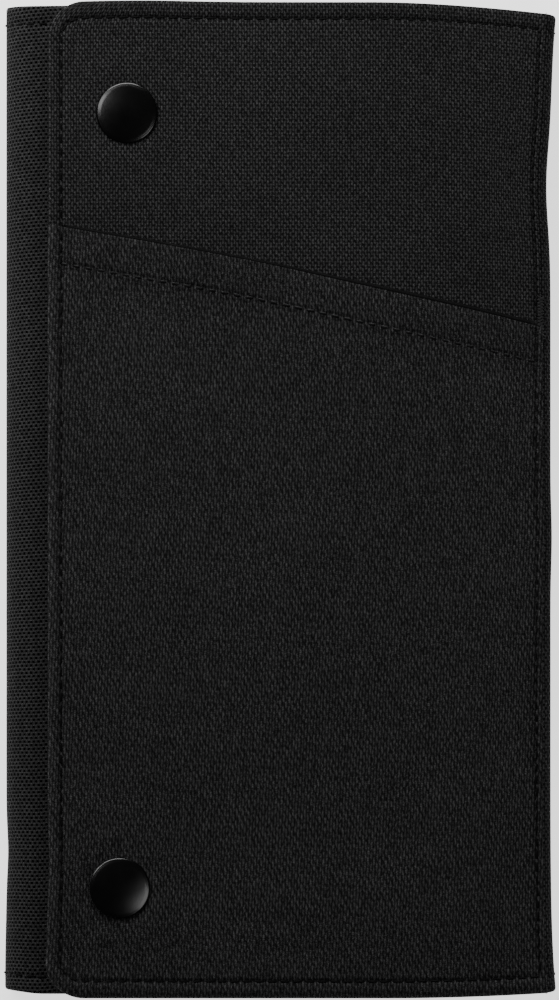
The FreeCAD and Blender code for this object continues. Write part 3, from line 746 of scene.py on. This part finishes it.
def end_seams(name, points, normal, half, joint, keep, sink):
    """Stitches along both ends of a length of cloth. They lie deeper where the wallet rests on them."""
    shares = points[points.shape[0] // 2, :, 1]
    pieces = []
    for y in (half - SEAM_INSET, SEAM_INSET - half):
        column = np.stack([[np.interp(y, shares, row[:, i]) for row in points] for i in range(3)], axis=1)
        chosen = keep(column[:, 0])
        column, outwards = column[chosen], normal[chosen]
        place, _ = resample(column, STITCH_PITCH)
        apart = place[:, None, [0, 2]] - column[None][:, :, [0, 2]]
        nearest = np.argmin(np.linalg.norm(apart, axis=2), axis=1)
        up = np.stack([outwards[nearest, 0], np.zeros(len(nearest)), outwards[nearest, 1]], axis=1)
        pieces += stitch_arrays(column, up, radius=0.26, sink=sink)
    seam = gather(name, pieces)
    dress(seam, THREAD_AND_GROOVE_SHADE)
    attach(seam, joint)


def everywhere(x):
    return x == x


def outer_cloth():
    turn = SPINE_X - FOLD_R
    flat = turn - 8
    flap_wall = FLAP_TOP - FLAP_FOLD_R
    sewn_cloth("back_cloth", [(-flat, 0), (flat, 0)], [], 1.6, -1, [BACK_HALF], [BACK_SEAM], FRONT_WEAVE,
               "back_outer_panel", "back_cover", seam=everywhere,
               relief=lambda x, y: pull(np.abs(BACK_HALF - np.abs(y) - SEAM_INSET), x, 0.8, 0.12))
    sewn_cloth("spine_cloth", [(flat, 0), (SPINE_X, 0), (SPINE_X, SPINE_MID)], [FOLD_R], 1.0, -1, [BACK_HALF],
               [BACK_SEAM, WALL / 2, WALL / 2], FRONT_WEAVE, "spine_outer_panel",
               (("back_cover", "spine"), (turn, 0), (SPINE_X, FOLD_R)), row_spacing=1.2, first=2 * flat,
               seam=everywhere)
    sewn_cloth("front_cloth", [(COVER_LEFT, COVER_FACE), (SPINE_X, COVER_FACE), (SPINE_X, SPINE_MID)],
               [FOLD_R], 0.95, 1, [COVER_HALF] * 14 + [BACK_HALF], [COVER_FACE - COVER_SEAM] * 9 + [WALL / 2],
               FRONT_WEAVE, "front_outer_panel",
               (("spine", "front_cover"), (SPINE_X, COVER_FACE - FOLD_R), (turn, COVER_FACE)),
               relief=cover_relief, free=COVER_LEFT, corner=COVER_CORNER, row_spacing=0.85, free_start=True,
               seam=lambda x: x > STITCH_RIGHT + 1, seams=(STITCH_LEFT, STITCH_RIGHT), sink=0.1)
    sewn_cloth("flap_side_cloth", [(-flat, 0), (SIDE_X, 0), (SIDE_X, flap_wall)], [FOLD_R], 1.0, 1,
               [BACK_HALF, FLAP_HALF], [BACK_SEAM, WALL / 2, WALL / 2], FLAP_WEAVE, "flap_side_outer_panel",
               (("back_cover", "flap_side"), (-turn, 0), (SIDE_X, FOLD_R)), row_spacing=1.2, seam=everywhere)
    sewn_cloth("flap_cloth", [(SIDE_X, flap_wall), (SIDE_X, FLAP_TOP), (FLAP_TIP, FLAP_TOP)], [FLAP_FOLD_R],
               0.8, 1, [FLAP_HALF], [WALL / 2] + [FLAP_TOP - FLAP_SEAM] * 3, FLAP_WEAVE, "flap_outer_panel",
               (("flap_side", "flap"), (SIDE_X, flap_wall), (SIDE_X + FLAP_FOLD_R, FLAP_TOP)),
               relief=flap_relief, free=FLAP_TIP, corner=FLAP_CORNER, row_spacing=0.9, free_end=True, first=9,
               seam=lambda x: x < FLAP_TIP - SEAM_INSET, seams=(FLAP_TIP - SEAM_INSET,), sink=-0.02)


def slash_pocket():
    """The pocket's cloth, sewn down on three sides with a hemmed slanted edge."""
    left, right = COVER_LEFT - 0.15, STITCH_RIGHT + 1.4
    bottom = -COVER_HALF - 0.1
    height = SLASH_START - SLASH_FALL / 2 - bottom
    xs = finer(steps(left, right, 0.8, 1.6, 0.8), (STITCH_LEFT, STITCH_RIGHT))
    hems = 1 - np.array([HEM - 0.7, HEM + 0.9]) / height
    shares = finer(steps(0, 1, 0.85 / height, 1.5 / height, 0.5 / height) * height,
                   (-STITCH_TOP - bottom, hems[0] * height, hems[1] * height)) / height
    x = np.broadcast_to(xs[:, None], (len(xs), len(shares))).copy()
    y = bottom + shares[None, :] * (slash_y(x) - bottom)
    reach = np.clip(COVER_CORNER - (y - bottom), 0, COVER_CORNER)
    x += (COVER_CORNER - np.sqrt(COVER_CORNER ** 2 - reach ** 2)) * np.clip(1 - (x - left) / 38, 0, 1) ** 2
    inset = inset_from(x, np.minimum(y, 0), left, -bottom, COVER_CORNER)
    drop = (POCKET_FACE - COVER_SEAM - 0.25) * curl(inset, 1.9) + 0.55 * curl(right - x, 0.8)
    points = np.zeros(x.shape + (3,))
    points[..., 0], points[..., 1] = x, y
    points[..., 2] = POCKET_FACE + pocket_relief(x, y) - drop
    uv = np.stack([x - left, y], axis=-1)
    below = slash_y(x) - y
    to_edges = smooth((inset - 1) / 2) * smooth((right - x - 0.6) / 1.5)
    thickness = np.minimum(0.8 - 0.38 * smooth((below - HEM) / 1.2), CLOTH + 0.38 * to_edges)
    piece = cloth("slash_pocket_cloth", soft_outline(points), thickness, uv, -1)
    dress(piece, POCKET_WEAVE, "front_cover", ["slash_pocket_panel", "slash_pocket_hem"])


# ---- lining
def lining_cloth(name, corners, radii, spacing, side, half, depth, node, joint, **more):
    sewn_cloth(name, corners, radii, spacing, side, half, depth, TAFFETA, node, joint, "lining_fabric",
               thickness=LINING, **more)


def linings():
    inner = SPINE_X - CLOTH - 0.1
    start = SPINE_X - CLOTH - 11
    turn = 1.6
    flap_turn = 6.5
    low = FLAP_UNDER - flap_turn
    back_half, cover_half, flap_half = BACK_HALF - 0.4, COVER_HALF - 0.4, FLAP_HALF - 0.4
    back_depth, cover_depth = BACK_INSIDE - BACK_SEAM, COVER_SEAM - COVER_INSIDE
    lining_cloth("back_lining_cloth", [(-start, BACK_INSIDE), (start, BACK_INSIDE)], [], 2.0, 1, [back_half],
                 [back_depth], "back_lining", "back_cover", relief=lambda x, y: 0.06 * wander(x, y, 30, 31))
    lining_cloth("spine_lining_low", [(start, BACK_INSIDE), (inner, BACK_INSIDE), (inner, SPINE_MID)], [turn],
                 0.8, 1, [back_half], [back_depth, WALL / 2, WALL / 2], "spine_lining",
                 (("back_cover", "spine"), (start, BACK_INSIDE), (inner, BACK_INSIDE + 4)), row_spacing=2.0)
    lining_cloth("spine_lining_high", [(inner, SPINE_MID), (inner, COVER_INSIDE), (start, COVER_INSIDE)],
                 [turn], 0.8, 1, [back_half, cover_half], [WALL / 2, WALL / 2, cover_depth], None,
                 (("spine", "front_cover"), (inner, COVER_INSIDE - 4), (start, COVER_INSIDE)),
                 row_spacing=2.0)
    lining_cloth("front_lining_cloth", [(start, COVER_INSIDE), (COVER_LEFT, COVER_INSIDE)], [], 1.6, 1,
                 [cover_half], [cover_depth], "front_lining", "front_cover", free=COVER_LEFT,
                 relief=lambda x, y: 0.06 * wander(x, y, 30, 33), corner=COVER_CORNER, free_end=True,
                 row_spacing=1.6)
    lining_cloth("flap_side_lining_cloth", [(-start, BACK_INSIDE), (-inner, BACK_INSIDE), (-inner, low)],
                 [min(turn, low - BACK_INSIDE - 0.1)], 0.8, -1, [back_half, flap_half],
                 [back_depth, WALL / 2, WALL / 2], "flap_side_lining",
                 (("back_cover", "flap_side"), (-start, BACK_INSIDE), (-inner, low)), row_spacing=2.0)
    lining_cloth("flap_lining_cloth", [(-inner, low), (-inner, FLAP_UNDER), (FLAP_TIP, FLAP_UNDER)],
                 [flap_turn], 1.2, -1, [flap_half], [WALL / 2] + [FLAP_SEAM - FLAP_UNDER] * 3, "flap_lining",
                 (("flap_side", "flap"), (-inner, low), (-inner + flap_turn, FLAP_UNDER)), free=FLAP_TIP,
                 relief=lambda x, y: 0.05 * wander(x, y, 25, 35), corner=FLAP_CORNER, free_end=True)


# ---- flat pockets
def flat_cloth(name, low, high, z, facing, thickness, material, body, replaces, seed, rise, spacing=1.6,
               slot="pocket_fabric"):
    """A rectangle of cloth in a level plane, its outer side at z, facing up (1) or down (-1)."""
    xs = steps(low[0], high[0], spacing, FLAT_EDGE_R, FLAT_EDGE_R)
    ys = steps(low[1], high[1], spacing, FLAT_EDGE_R, FLAT_EDGE_R)
    x, y = np.meshgrid(xs, ys, indexing="ij")
    inset = np.minimum(np.minimum(x - low[0], high[0] - x), np.minimum(y - low[1], high[1] - y))
    height = rise * wander(x, y, 26, seed) * smooth(inset / 8) + pull(inset - 2, x + y, 0.6, 0.12)
    points = np.stack([x, y, z + facing * (height - 0.6 * thickness * curl(inset, FLAT_EDGE_R))], axis=-1)
    piece = cloth(name, points, thickness, spread(x, y), -facing)
    dress(piece, material, body, replaces)


def pocket_stitches(name, low, high, z, facing, body, inset=2.0):
    """Stitches down one side of a flat pocket, along its bottom and up the other."""
    (left, bottom), (right, top) = np.add(low, inset), np.subtract(high, inset)
    route = [(left, top, z), (left, bottom, z), (right, bottom, z), (right, top, z)]
    pieces = []
    for start, end in zip(route, route[1:]):
        pieces += stitch_arrays(np.linspace(start, end, 40), (0, 0, facing))
    return dress(gather(name, pieces), THREAD_AND_GROOVE_SHADE, body)


def binding(name, start, end, width, height, body):
    """Tape folded over a pocket's top edge: a flattened bead between two points."""
    path = np.linspace(start, end, max(2, round(math.dist(start, end) / 1.5)))
    verts, faces = tube_arrays(path, width / 2, 16, flat=height / width)
    dress(add_mesh(name, verts, faces, verts[:, :2] * MM), TAPE, body)


def corner_arc(cx, cy, radius, start, stop, count=10):
    angles = np.radians(np.linspace(start, stop, count))
    return [(cx + radius * math.cos(a), cy + radius * math.sin(a)) for a in angles]


def passport_pocket():
    """Cloth with a bound top edge, on a gusset folded inwards like a bellows."""
    (left, bottom, _), (right, top, face) = box("passport_pocket_panel")
    flat_cloth("passport_pocket_cloth", (left, bottom), (right, top), face, 1, 0.45, INNER_WEAVE,
               "back_cover", ["passport_pocket_panel"], 41, 0.16)
    pocket_stitches("passport_pocket_stitches", (left, bottom), (right, top - 3), face, 1, "back_cover")
    bound = top - 2.2
    binding("passport_pocket_binding", (left, bound, face - 0.05), (right, bound, face - 0.05), 5.2, 1.1,
            "back_cover")
    low, high = BACK_INSIDE, face - 0.25
    corner, pitch = 2.0, 1.5
    route = [(left, top)] + corner_arc(left + corner, bottom + corner, corner, 180, 270, 7)
    route += corner_arc(right - corner, bottom + corner, corner, 270, 360, 7) + [(right, top)]
    route = [(x, y, 0) for x, y in route]
    place, heading = resample(route, pitch)
    place = np.concatenate([[route[0]], place, [route[-1]]])
    heading = np.concatenate([heading[:1], heading, heading[-1:]])
    out = np.stack([heading[:, 1], -heading[:, 0], np.zeros(len(heading))], axis=1)
    zs = np.linspace(low, high, 13)
    fold = -1.5 * np.sin(math.pi * (zs - low) / (high - low)) ** 1.5 - 0.15
    points = place[:, None] + out[:, None] * fold[None, :, None]
    points[..., 2] = zs
    uv = spread(np.arange(len(place))[:, None] * pitch, zs * 1.2)
    piece = cloth("passport_pocket_gusset_cloth", points, 0.4, uv, -1)
    dress(piece, INNER_WEAVE, "back_cover", ["passport_pocket_gusset"])


def coin_pocket():
    """Cloth either side of the zip, a tab over each end of it, and edges down to the lining."""
    (left, bottom, _), (right, top, face) = box("coin_pocket_panel")
    _, (zip_left, zip_top, _) = box("zip_teeth_left")
    (zip_right, zip_bottom, _), _ = box("zip_teeth_right")
    middle = (zip_left + zip_right) / 2
    gap = 2.9
    wide = (left, bottom), (middle - gap, top)
    narrow = (middle + gap, bottom), (right, top)
    flat_cloth("coin_pocket_wide_panel", *wide, face, 1, 0.45, INNER_WEAVE, "back_cover",
               ["coin_pocket_panel"], 43, 0.14)
    flat_cloth("coin_pocket_narrow_panel", *narrow, face, 1, 0.45, INNER_WEAVE, "back_cover", [], 44, 0.06)
    pocket_stitches("coin_pocket_wide_stitches", *wide, face, 1, "back_cover")
    pocket_stitches("coin_pocket_narrow_stitches", *narrow, face, 1, "back_cover")
    for name, low, high in (("lower", bottom, zip_bottom + 0.5), ("upper", zip_top - 0.5, top)):
        flat_cloth(f"coin_zip_tab_{name}", (middle - gap - 1.5, low), (middle + gap + 1.5, high), face + 0.35,
                   1, 0.4, TAPE, "back_cover", [], 45, 0.02, spacing=0.8)
    count = 60
    zs = np.linspace(BACK_INSIDE, face - 0.3, 5)
    bulge = -0.2 * np.sin(np.linspace(0, math.pi, 5))
    for name, start, end, out in (
        ("left", (left, bottom), (left, top), (-1, 0)), ("right", (right, bottom), (right, top), (1, 0)),
        ("bottom", (left, bottom), (right, bottom), (0, -1)), ("top", (left, top), (right, top), (0, 1)),
    ):
        line = np.linspace(start, end, count)
        points = np.zeros((count, 5, 3))
        points[..., 0] = line[:, :1] + out[0] * bulge
        points[..., 1] = line[:, 1:] + out[1] * bulge
        points[..., 2] = zs
        uv = spread(np.linspace(0, math.dist(start, end), count)[:, None], zs)
        facing = grid_normals(points)[30, 2, :2] @ np.array(out)
        piece = cloth(f"coin_pocket_edge_{name}", points, 0.35, uv, -1 if facing > 0 else 1)
        dress(piece, INNER_WEAVE, "back_cover")


def inside_front():
    """Stepped card pockets and the ticket pocket, which face down into the closed wallet."""
    for name, mark, thickness, seed, rise, down, lift, width, height in (
        ("card_pocket", "_1", 0.36, 50, 0.05, 1.7, 0.12, 4.2, 0.66),
        ("card_pocket", "_2", 0.36, 51, 0.05, 1.7, 0.12, 4.2, 0.66),
        ("card_pocket", "_3", 0.36, 52, 0.05, 1.7, 0.12, 4.2, 0.66),
        ("ticket_pocket", "", 0.45, 55, 0.1, 1.9, 0.1, 4.6, 0.8),
    ):
        node = name + (mark or "_panel")
        (left, bottom, face), (right, top, _) = box(node)
        flat_cloth(f"{name}_cloth{mark}", (left, bottom), (right, top), face, -1, thickness, INNER_WEAVE,
                   "front_cover", [node], seed, rise)
        pocket_stitches(f"{name}_stitches{mark}", (left, bottom), (right, top - 2.5), face, -1, "front_cover")
        binding(f"{name}_binding{mark}", (left + 0.3, top - down, face + lift),
                (right - 0.3, top - down, face + lift), width, height, "front_cover")


def pen_loop():
    """Ribbed elastic, sewn to the spine along its middle."""
    (left, low_y, low), (right, high_y, high) = box("pen_loop")
    radius = (high - low) / 2
    middle = (low + high) / 2
    centre = left + radius
    wall = right - 1.0
    angles = np.radians(np.linspace(38, 322, 56))
    loop = np.stack([centre + radius * np.cos(angles), middle + radius * np.sin(angles)], axis=1)
    foot = np.array([[wall, middle + 1.2], [wall - 0.5, middle + 2.6]])
    line = np.concatenate([foot, loop, foot[::-1] * [1, -1] + [0, 2 * middle]])
    ys = steps(low_y, high_y, 1.0, 0.4, 0.4)
    inset = np.minimum(ys - low_y, high_y - ys)
    points = np.stack(np.broadcast_arrays(line[:, :1], ys, line[:, 1:]), axis=-1)
    normal = grid_normals(points)
    outwards = 1 if normal[len(line) // 2, 3, 0] < 0 else -1
    points = points - normal * outwards * (0.25 * curl(inset, 0.4))[None, :, None]
    piece = cloth("pen_loop_elastic", points, 0.75, spread(run_along(line)[:, None], ys), -outwards)
    dress(piece, ELASTIC, "spine", ["pen_loop"])


# ---- zip
def zip_coil(name, side):
    """Half of the zip's teeth: a squared coil of wire round a cord, sewn to its tape."""
    (low_x, low_y, low_z), (high_x, high_y, high_z) = box(f"zip_teeth_{name}")
    inner = high_x if side < 0 else low_x
    middle = (low_z + high_z) / 2
    reach = 0.95
    wire = 0.27
    width = high_x - low_x + reach
    centre = inner - side * reach + side * width / 2
    turns = int((high_y - low_y) / COIL_PITCH)
    t = np.linspace(0, turns, turns * 14)
    angle = 2 * math.pi * t * side + (math.pi if side > 0 else 0)
    squared = np.sign(np.cos(angle)) * np.abs(np.cos(angle)) ** 0.7
    path = np.stack([centre + squared * (width / 2 - wire), low_y + 0.4 + t * COIL_PITCH,
                     middle + np.sin(angle) * ((high_z - low_z) / 2 - wire)], axis=1)
    cord_x = centre + side * 0.3
    cord = np.linspace((cord_x, low_y + 0.2, middle), (cord_x, high_y - 0.2, middle), 60)
    seam = [(centre + side * 0.35, y, high_z + 0.02) for y in np.linspace(low_y + 0.5, high_y - 0.5, 90)]
    pieces = [tube_arrays(path, wire, 7), tube_arrays(cord, 0.36, 8)]
    pieces += stitch_arrays(seam, (0, 0, 1), COIL_PITCH * 2, 2.3, 0.16, 0.0)
    dress(gather(f"zip_coil_{name}", pieces), NYLON, "back_cover", [f"zip_teeth_{name}"])


def zip_parts():
    for name, side in (("left", -1), ("right", 1)):
        zip_coil(name, side)
        (left, bottom, _), (right, top, face) = box(f"zip_tape_{name}")
        flat_cloth(f"zip_tape_cloth_{name}", (left, bottom), (right, top), face, 1, 0.36, TAPE, "back_cover",
                   [f"zip_tape_{name}"], 60 + side, 0.02, 0.9, "zip_tape")
    for node, width in (("zip_top_stop", 0.3), ("zip_bottom_stop", 0.3),
                        ("zip_slider", 0.16), ("zip_pull", 0.16)):
        softened(node, width)


def softened(node, width):
    """A cast part in the CAD node's shape with its edges rounded."""
    source = frame["nodes"][node]
    mesh = source.data.copy()
    mesh.materials.clear()
    piece = bpy.data.objects.new(f"{node}_cast", mesh)
    bpy.context.scene.collection.objects.link(piece)
    piece.matrix_world = source.matrix_world
    work = bmesh.new()
    work.from_mesh(mesh)
    bmesh.ops.remove_doubles(work, verts=work.verts, dist=0.004 * MM)
    bmesh.ops.dissolve_limit(work, angle_limit=math.radians(4), verts=work.verts, edges=work.edges)
    work.to_mesh(mesh)
    work.free()
    bevel = piece.modifiers.new("edges", "BEVEL")
    bevel.width = width * MM
    bevel.segments = 3
    bevel.limit_method = "ANGLE"
    bevel.angle_limit = math.radians(35)
    bevel.use_clamp_overlap = True
    bpy.context.view_layer.update()
    evaluated = piece.evaluated_get(bpy.context.evaluated_depsgraph_get())
    final = bpy.data.meshes.new_from_object(evaluated)
    piece.modifiers.clear()
    piece.data = final
    final.polygons.foreach_set("use_smooth", [True] * len(final.polygons))
    final.set_sharp_from_angle(angle=math.radians(42))
    body = next(b for b, nodes in frame["record"]["behaviour"]["bodies"].items() if node in nodes)
    dress(piece, ZINC, body, [node])


# ---- snaps
def snap(name, lean):
    """A snap fastener's parts. lean is how far its cap tips to +X and +Y, pressed on slightly askew."""
    x, y, _ = soft_outline(np.array([*CAPS[name], 0.0]))

    def size(kind):
        """A part's outer radius, and its lowest and highest z."""
        (left, _, low), (right, _, high) = box(f"{name}_snap_{kind}")
        return (right - left) / 2, low, high

    def finish(piece, kind, body, material=BLACK_NICKEL):
        dress(piece, material, body, [f"{name}_snap_{kind}"])

    radius, under, top = size("cap")
    face = top - 1.3
    rim_r, rim_z = 0.85, 0.45
    shoulder = radius - rim_r * 0.85
    dome = [(r, top - 0.62 * (r / shoulder) ** 2) for r in np.linspace(0, shoulder, 16)]
    rolled = [(radius - rim_r + rim_r * math.cos(a), face + 0.2 + rim_z * math.sin(a))
              for a in np.radians(np.linspace(74, -90, 18))]
    post = [(1.6, face - 0.13), (1.6, under + 0.35), (2.2, under + 0.3), (2.2, under), (1.1, under),
            (1.1, top - 0.6), (0, top - 0.6)]
    cap = lathe(f"{name}_snap_cap_dome", dome + rolled + post, x, y, 96)
    for corner in cap.data.vertices:
        if corner.co.z > face * MM:
            corner.co.z -= (corner.co.x - x * MM) * lean[0] + (corner.co.y - y * MM) * lean[1]
    finish(cap, "cap", "front_cover", LACQUER)

    outer, low, high = size("socket")
    cup = [(1.7, high), (outer, high), (outer, high - 0.4), (4.6, high - 0.4), (4.6, low), (3.2, low),
           (3.2, low + 0.4), (4.2, low + 0.4), (4.2, high - 0.4), (1.7, high - 0.4)]
    cup = rounded(cup, [0.05, 0.15, 0.15, 0.3, 0.6, 0.18, 0.18, 0.3, 0.2, 0.05])
    finish(lathe(f"{name}_snap_socket_cup", cup, x, y), "socket", "front_cover")

    _, low, high = size("spring")
    wire = (high - low) / 2
    coil = box(f"{name}_snap_spring")[1][0] - wire - CAPS[name][0]
    around = np.radians(np.linspace(20, 340, 60))
    level = np.full(60, (low + high) / 2)
    path = np.stack([x + coil * np.cos(around), y + coil * np.sin(around), level], axis=1)
    spring = gather(f"{name}_snap_spring_wire", [tube_arrays(path, wire, 10)])
    finish(spring, "spring", "front_cover", SPRING_STEEL)

    outer, base, top = size("stud")
    stud = [(1.7, base), (outer, base), (outer, base + 0.5), (5.2, base + 1.2), (2.45, base + 1.2),
            (2.45, base + 1.8), (2.7, base + 2.3), (2.3, top), (0, top), (0, top - 0.4), (1.9, top - 0.4),
            (2.0, base + 0.5), (1.7, base + 0.5)]
    stud = rounded(stud, [0, 0.12, 0.2, 0.3, 0.25, 0.2, 0.2, 0.35, 0, 0, 0.2, 0.1, 0])
    finish(lathe(f"{name}_snap_stud_post", stud, x, y), "stud", "flap")

    outer, base, top = size("eyelet")
    flange = base + 0.6
    eyelet = [(1.1, base), (outer - 0.4, base), (outer, base + 0.35), (outer, flange), (1.6, flange),
              (1.6, top), (1.1, top)]
    eyelet = rounded(eyelet, [0.15, 0.25, 0.15, 0.1, 0.1, 0.1, 0.1])
    finish(lathe(f"{name}_snap_eyelet_ring", eyelet, x, y), "eyelet", "flap")


# ---- the front's stitching
def front_height(x, y):
    """The front's outermost cloth at a point: the slash pocket's or the cover's."""
    return np.where(y < slash_y(x), POCKET_FACE + pocket_relief(x, y), COVER_FACE + cover_relief(x, y))


def front_line(route, spacing=0.5):
    """Points on the front's cloth along a route in xy."""
    route = np.asarray(route, float)
    run = run_along(route)
    along = np.linspace(0, run[-1], round(run[-1] / spacing))
    x, y = np.interp(along, run, route[:, 0]), np.interp(along, run, route[:, 1])
    return soft_outline(np.stack([x, y, front_height(x, y)], axis=1))


def sew(name, pieces, material=THREAD_AND_GROOVE_SHADE):
    dress(gather(name, pieces), material, "front_cover")


def front_stitches():
    up = (0, 0, 1)
    left, right, top, r = STITCH_LEFT, STITCH_RIGHT, STITCH_TOP, STITCH_CORNER
    ring = [(right, top)] + corner_arc(left + r, top - r, r, 90, 180)
    ring += corner_arc(left + r, r - top, r, 180, 270) + [(right, -top)]
    pieces = stitch_arrays(front_line(ring), up, radius=0.28, sink=0.02)
    pieces += stitch_arrays(front_line([(right, 1 - top), (right, top - 1)]), up, radius=0.28)
    sew("front_edge_stitches", pieces)

    # A near-black flattened strand along the slash pocket's mouth: painted shadow in the gap between the
    # pocket's lifted edge and the cover
    xs = np.linspace(left + 0.6, right - 0.6, 120)
    ys = slash_y(xs)
    wide = 0.4 + 0.18 * smooth((xs + 10) / 50)
    mouth = soft_outline(np.stack([xs, ys + wide * 0.6, COVER_FACE + cover_relief(xs, ys) + 0.2], axis=1))
    sew("slash_mouth_painted_shadow", [tube_arrays(mouth, wide, 8, 0.45)])

    xs = np.linspace(left - 0.6, right, 80)
    hem = np.stack([xs, slash_y(xs) - HEM / SLASH_COS], axis=1)
    sew("slash_hem_stitches", stitch_arrays(front_line(hem), up, length=1.8, radius=0.14), PALE_THREAD)
    # Near-black dashes just below the pale hem stitches: painted shade in the crease that those stitches pull
    lower = stitch_arrays(front_line(hem - [0, 0.3]), up, length=2.1, radius=0.26, sink=0.04)
    sew("slash_hem_painted_crease_shade", lower)

    turns = 29
    end = slash_y(COVER_RIGHT)
    ys = np.linspace(end - 3.0, end + 7.5, turns)
    xs = right + 0.9 + 0.75 * np.where(np.arange(turns) % 2, 1, -1)
    zigzag = soft_outline(np.stack([xs, ys, np.full(turns, POCKET_FACE - 0.35)], axis=1))
    zigzag[:, 2] -= 0.63 * smooth((ys - slash_y(xs) + 0.6) / 1.2)
    places = np.linspace(0, turns - 1, 140)
    fine = np.stack([np.interp(places, np.arange(turns), zigzag[:, i]) for i in range(3)], axis=1)
    sew("slash_bar_tack", [tube_arrays(fine, 0.2, 6)], TACK)


# ---- the whole
outer_cloth()
slash_pocket()
linings()
passport_pocket()
coin_pocket()
inside_front()
pen_loop()
zip_parts()
snap("upper", (-0.02, -0.04))
snap("lower", (0.055, -0.035))
front_stitches()
for board in ("back_board", "front_board", "flap_board"):
    frame["nodes"][board].material_slots[0].material = BOARD


# ---- room
FLOOR_GLOW = 1.5         # keeps the paper white beside such dark cloth


def stage():
    floor = add_mesh("floor", [(-3000, -3000, 0), (3000, -3000, 0), (3000, 3000, 0), (-3000, 3000, 0)],
                     [(0, 1, 2, 3)])
    pale = Look("floor_paper", (0.9, 0.9, 0.9), 0.9, 0.2)
    pale.set("Emission Color", (1, 1, 1, 1))
    pale.set("Emission Strength", FLOOR_GLOW)
    floor.data.materials.append(pale.material)


def lamp(name, place, aim, size, power):
    data = bpy.data.lights.new(name, "AREA")
    data.shape = "RECTANGLE"
    data.size, data.size_y = size
    data.energy = power
    lit = bpy.data.objects.new(name, data)
    bpy.context.scene.collection.objects.link(lit)
    place = Vector(place)
    lit.location = place
    lit.rotation_euler = (Vector(aim) - place).to_track_quat("-Z", "Y").to_euler()


stage()
lamp("left_lamp", (-0.44, 0.25, 0.5), (0, 0.03, 0.01), (0.25, 0.35), 1.7)
lamp("right_lamp", (0.32, -0.3, 0.53), (-0.02, -0.05, 0.01), (0.3, 0.3), 0.82)
lamp("high_lamp", (-0.12, 0.5, 0.32), (0, 0.06, 0.01), (0.5, 0.25), 3.4)

world = bpy.data.worlds.new("studio")
bpy.context.scene.world = world
world.use_nodes = True
world.node_tree.nodes["Background"].inputs["Color"].default_value = (1, 1, 1, 1)
world.node_tree.nodes["Background"].inputs["Strength"].default_value = 0.03

EYE_HEIGHT = 1.572       # above the front cover
eye = bpy.data.cameras.new("eye")
eye.lens = 240
eye.sensor_fit = "VERTICAL"
eye.sensor_height = 36
eye.clip_start = 0.05
eye.dof.use_dof = False
viewer = bpy.data.objects.new("eye", eye)
bpy.context.scene.collection.objects.link(viewer)
viewer.location = (0, 0, COVER_FACE * MM + EYE_HEIGHT)
bpy.context.scene.camera = viewer
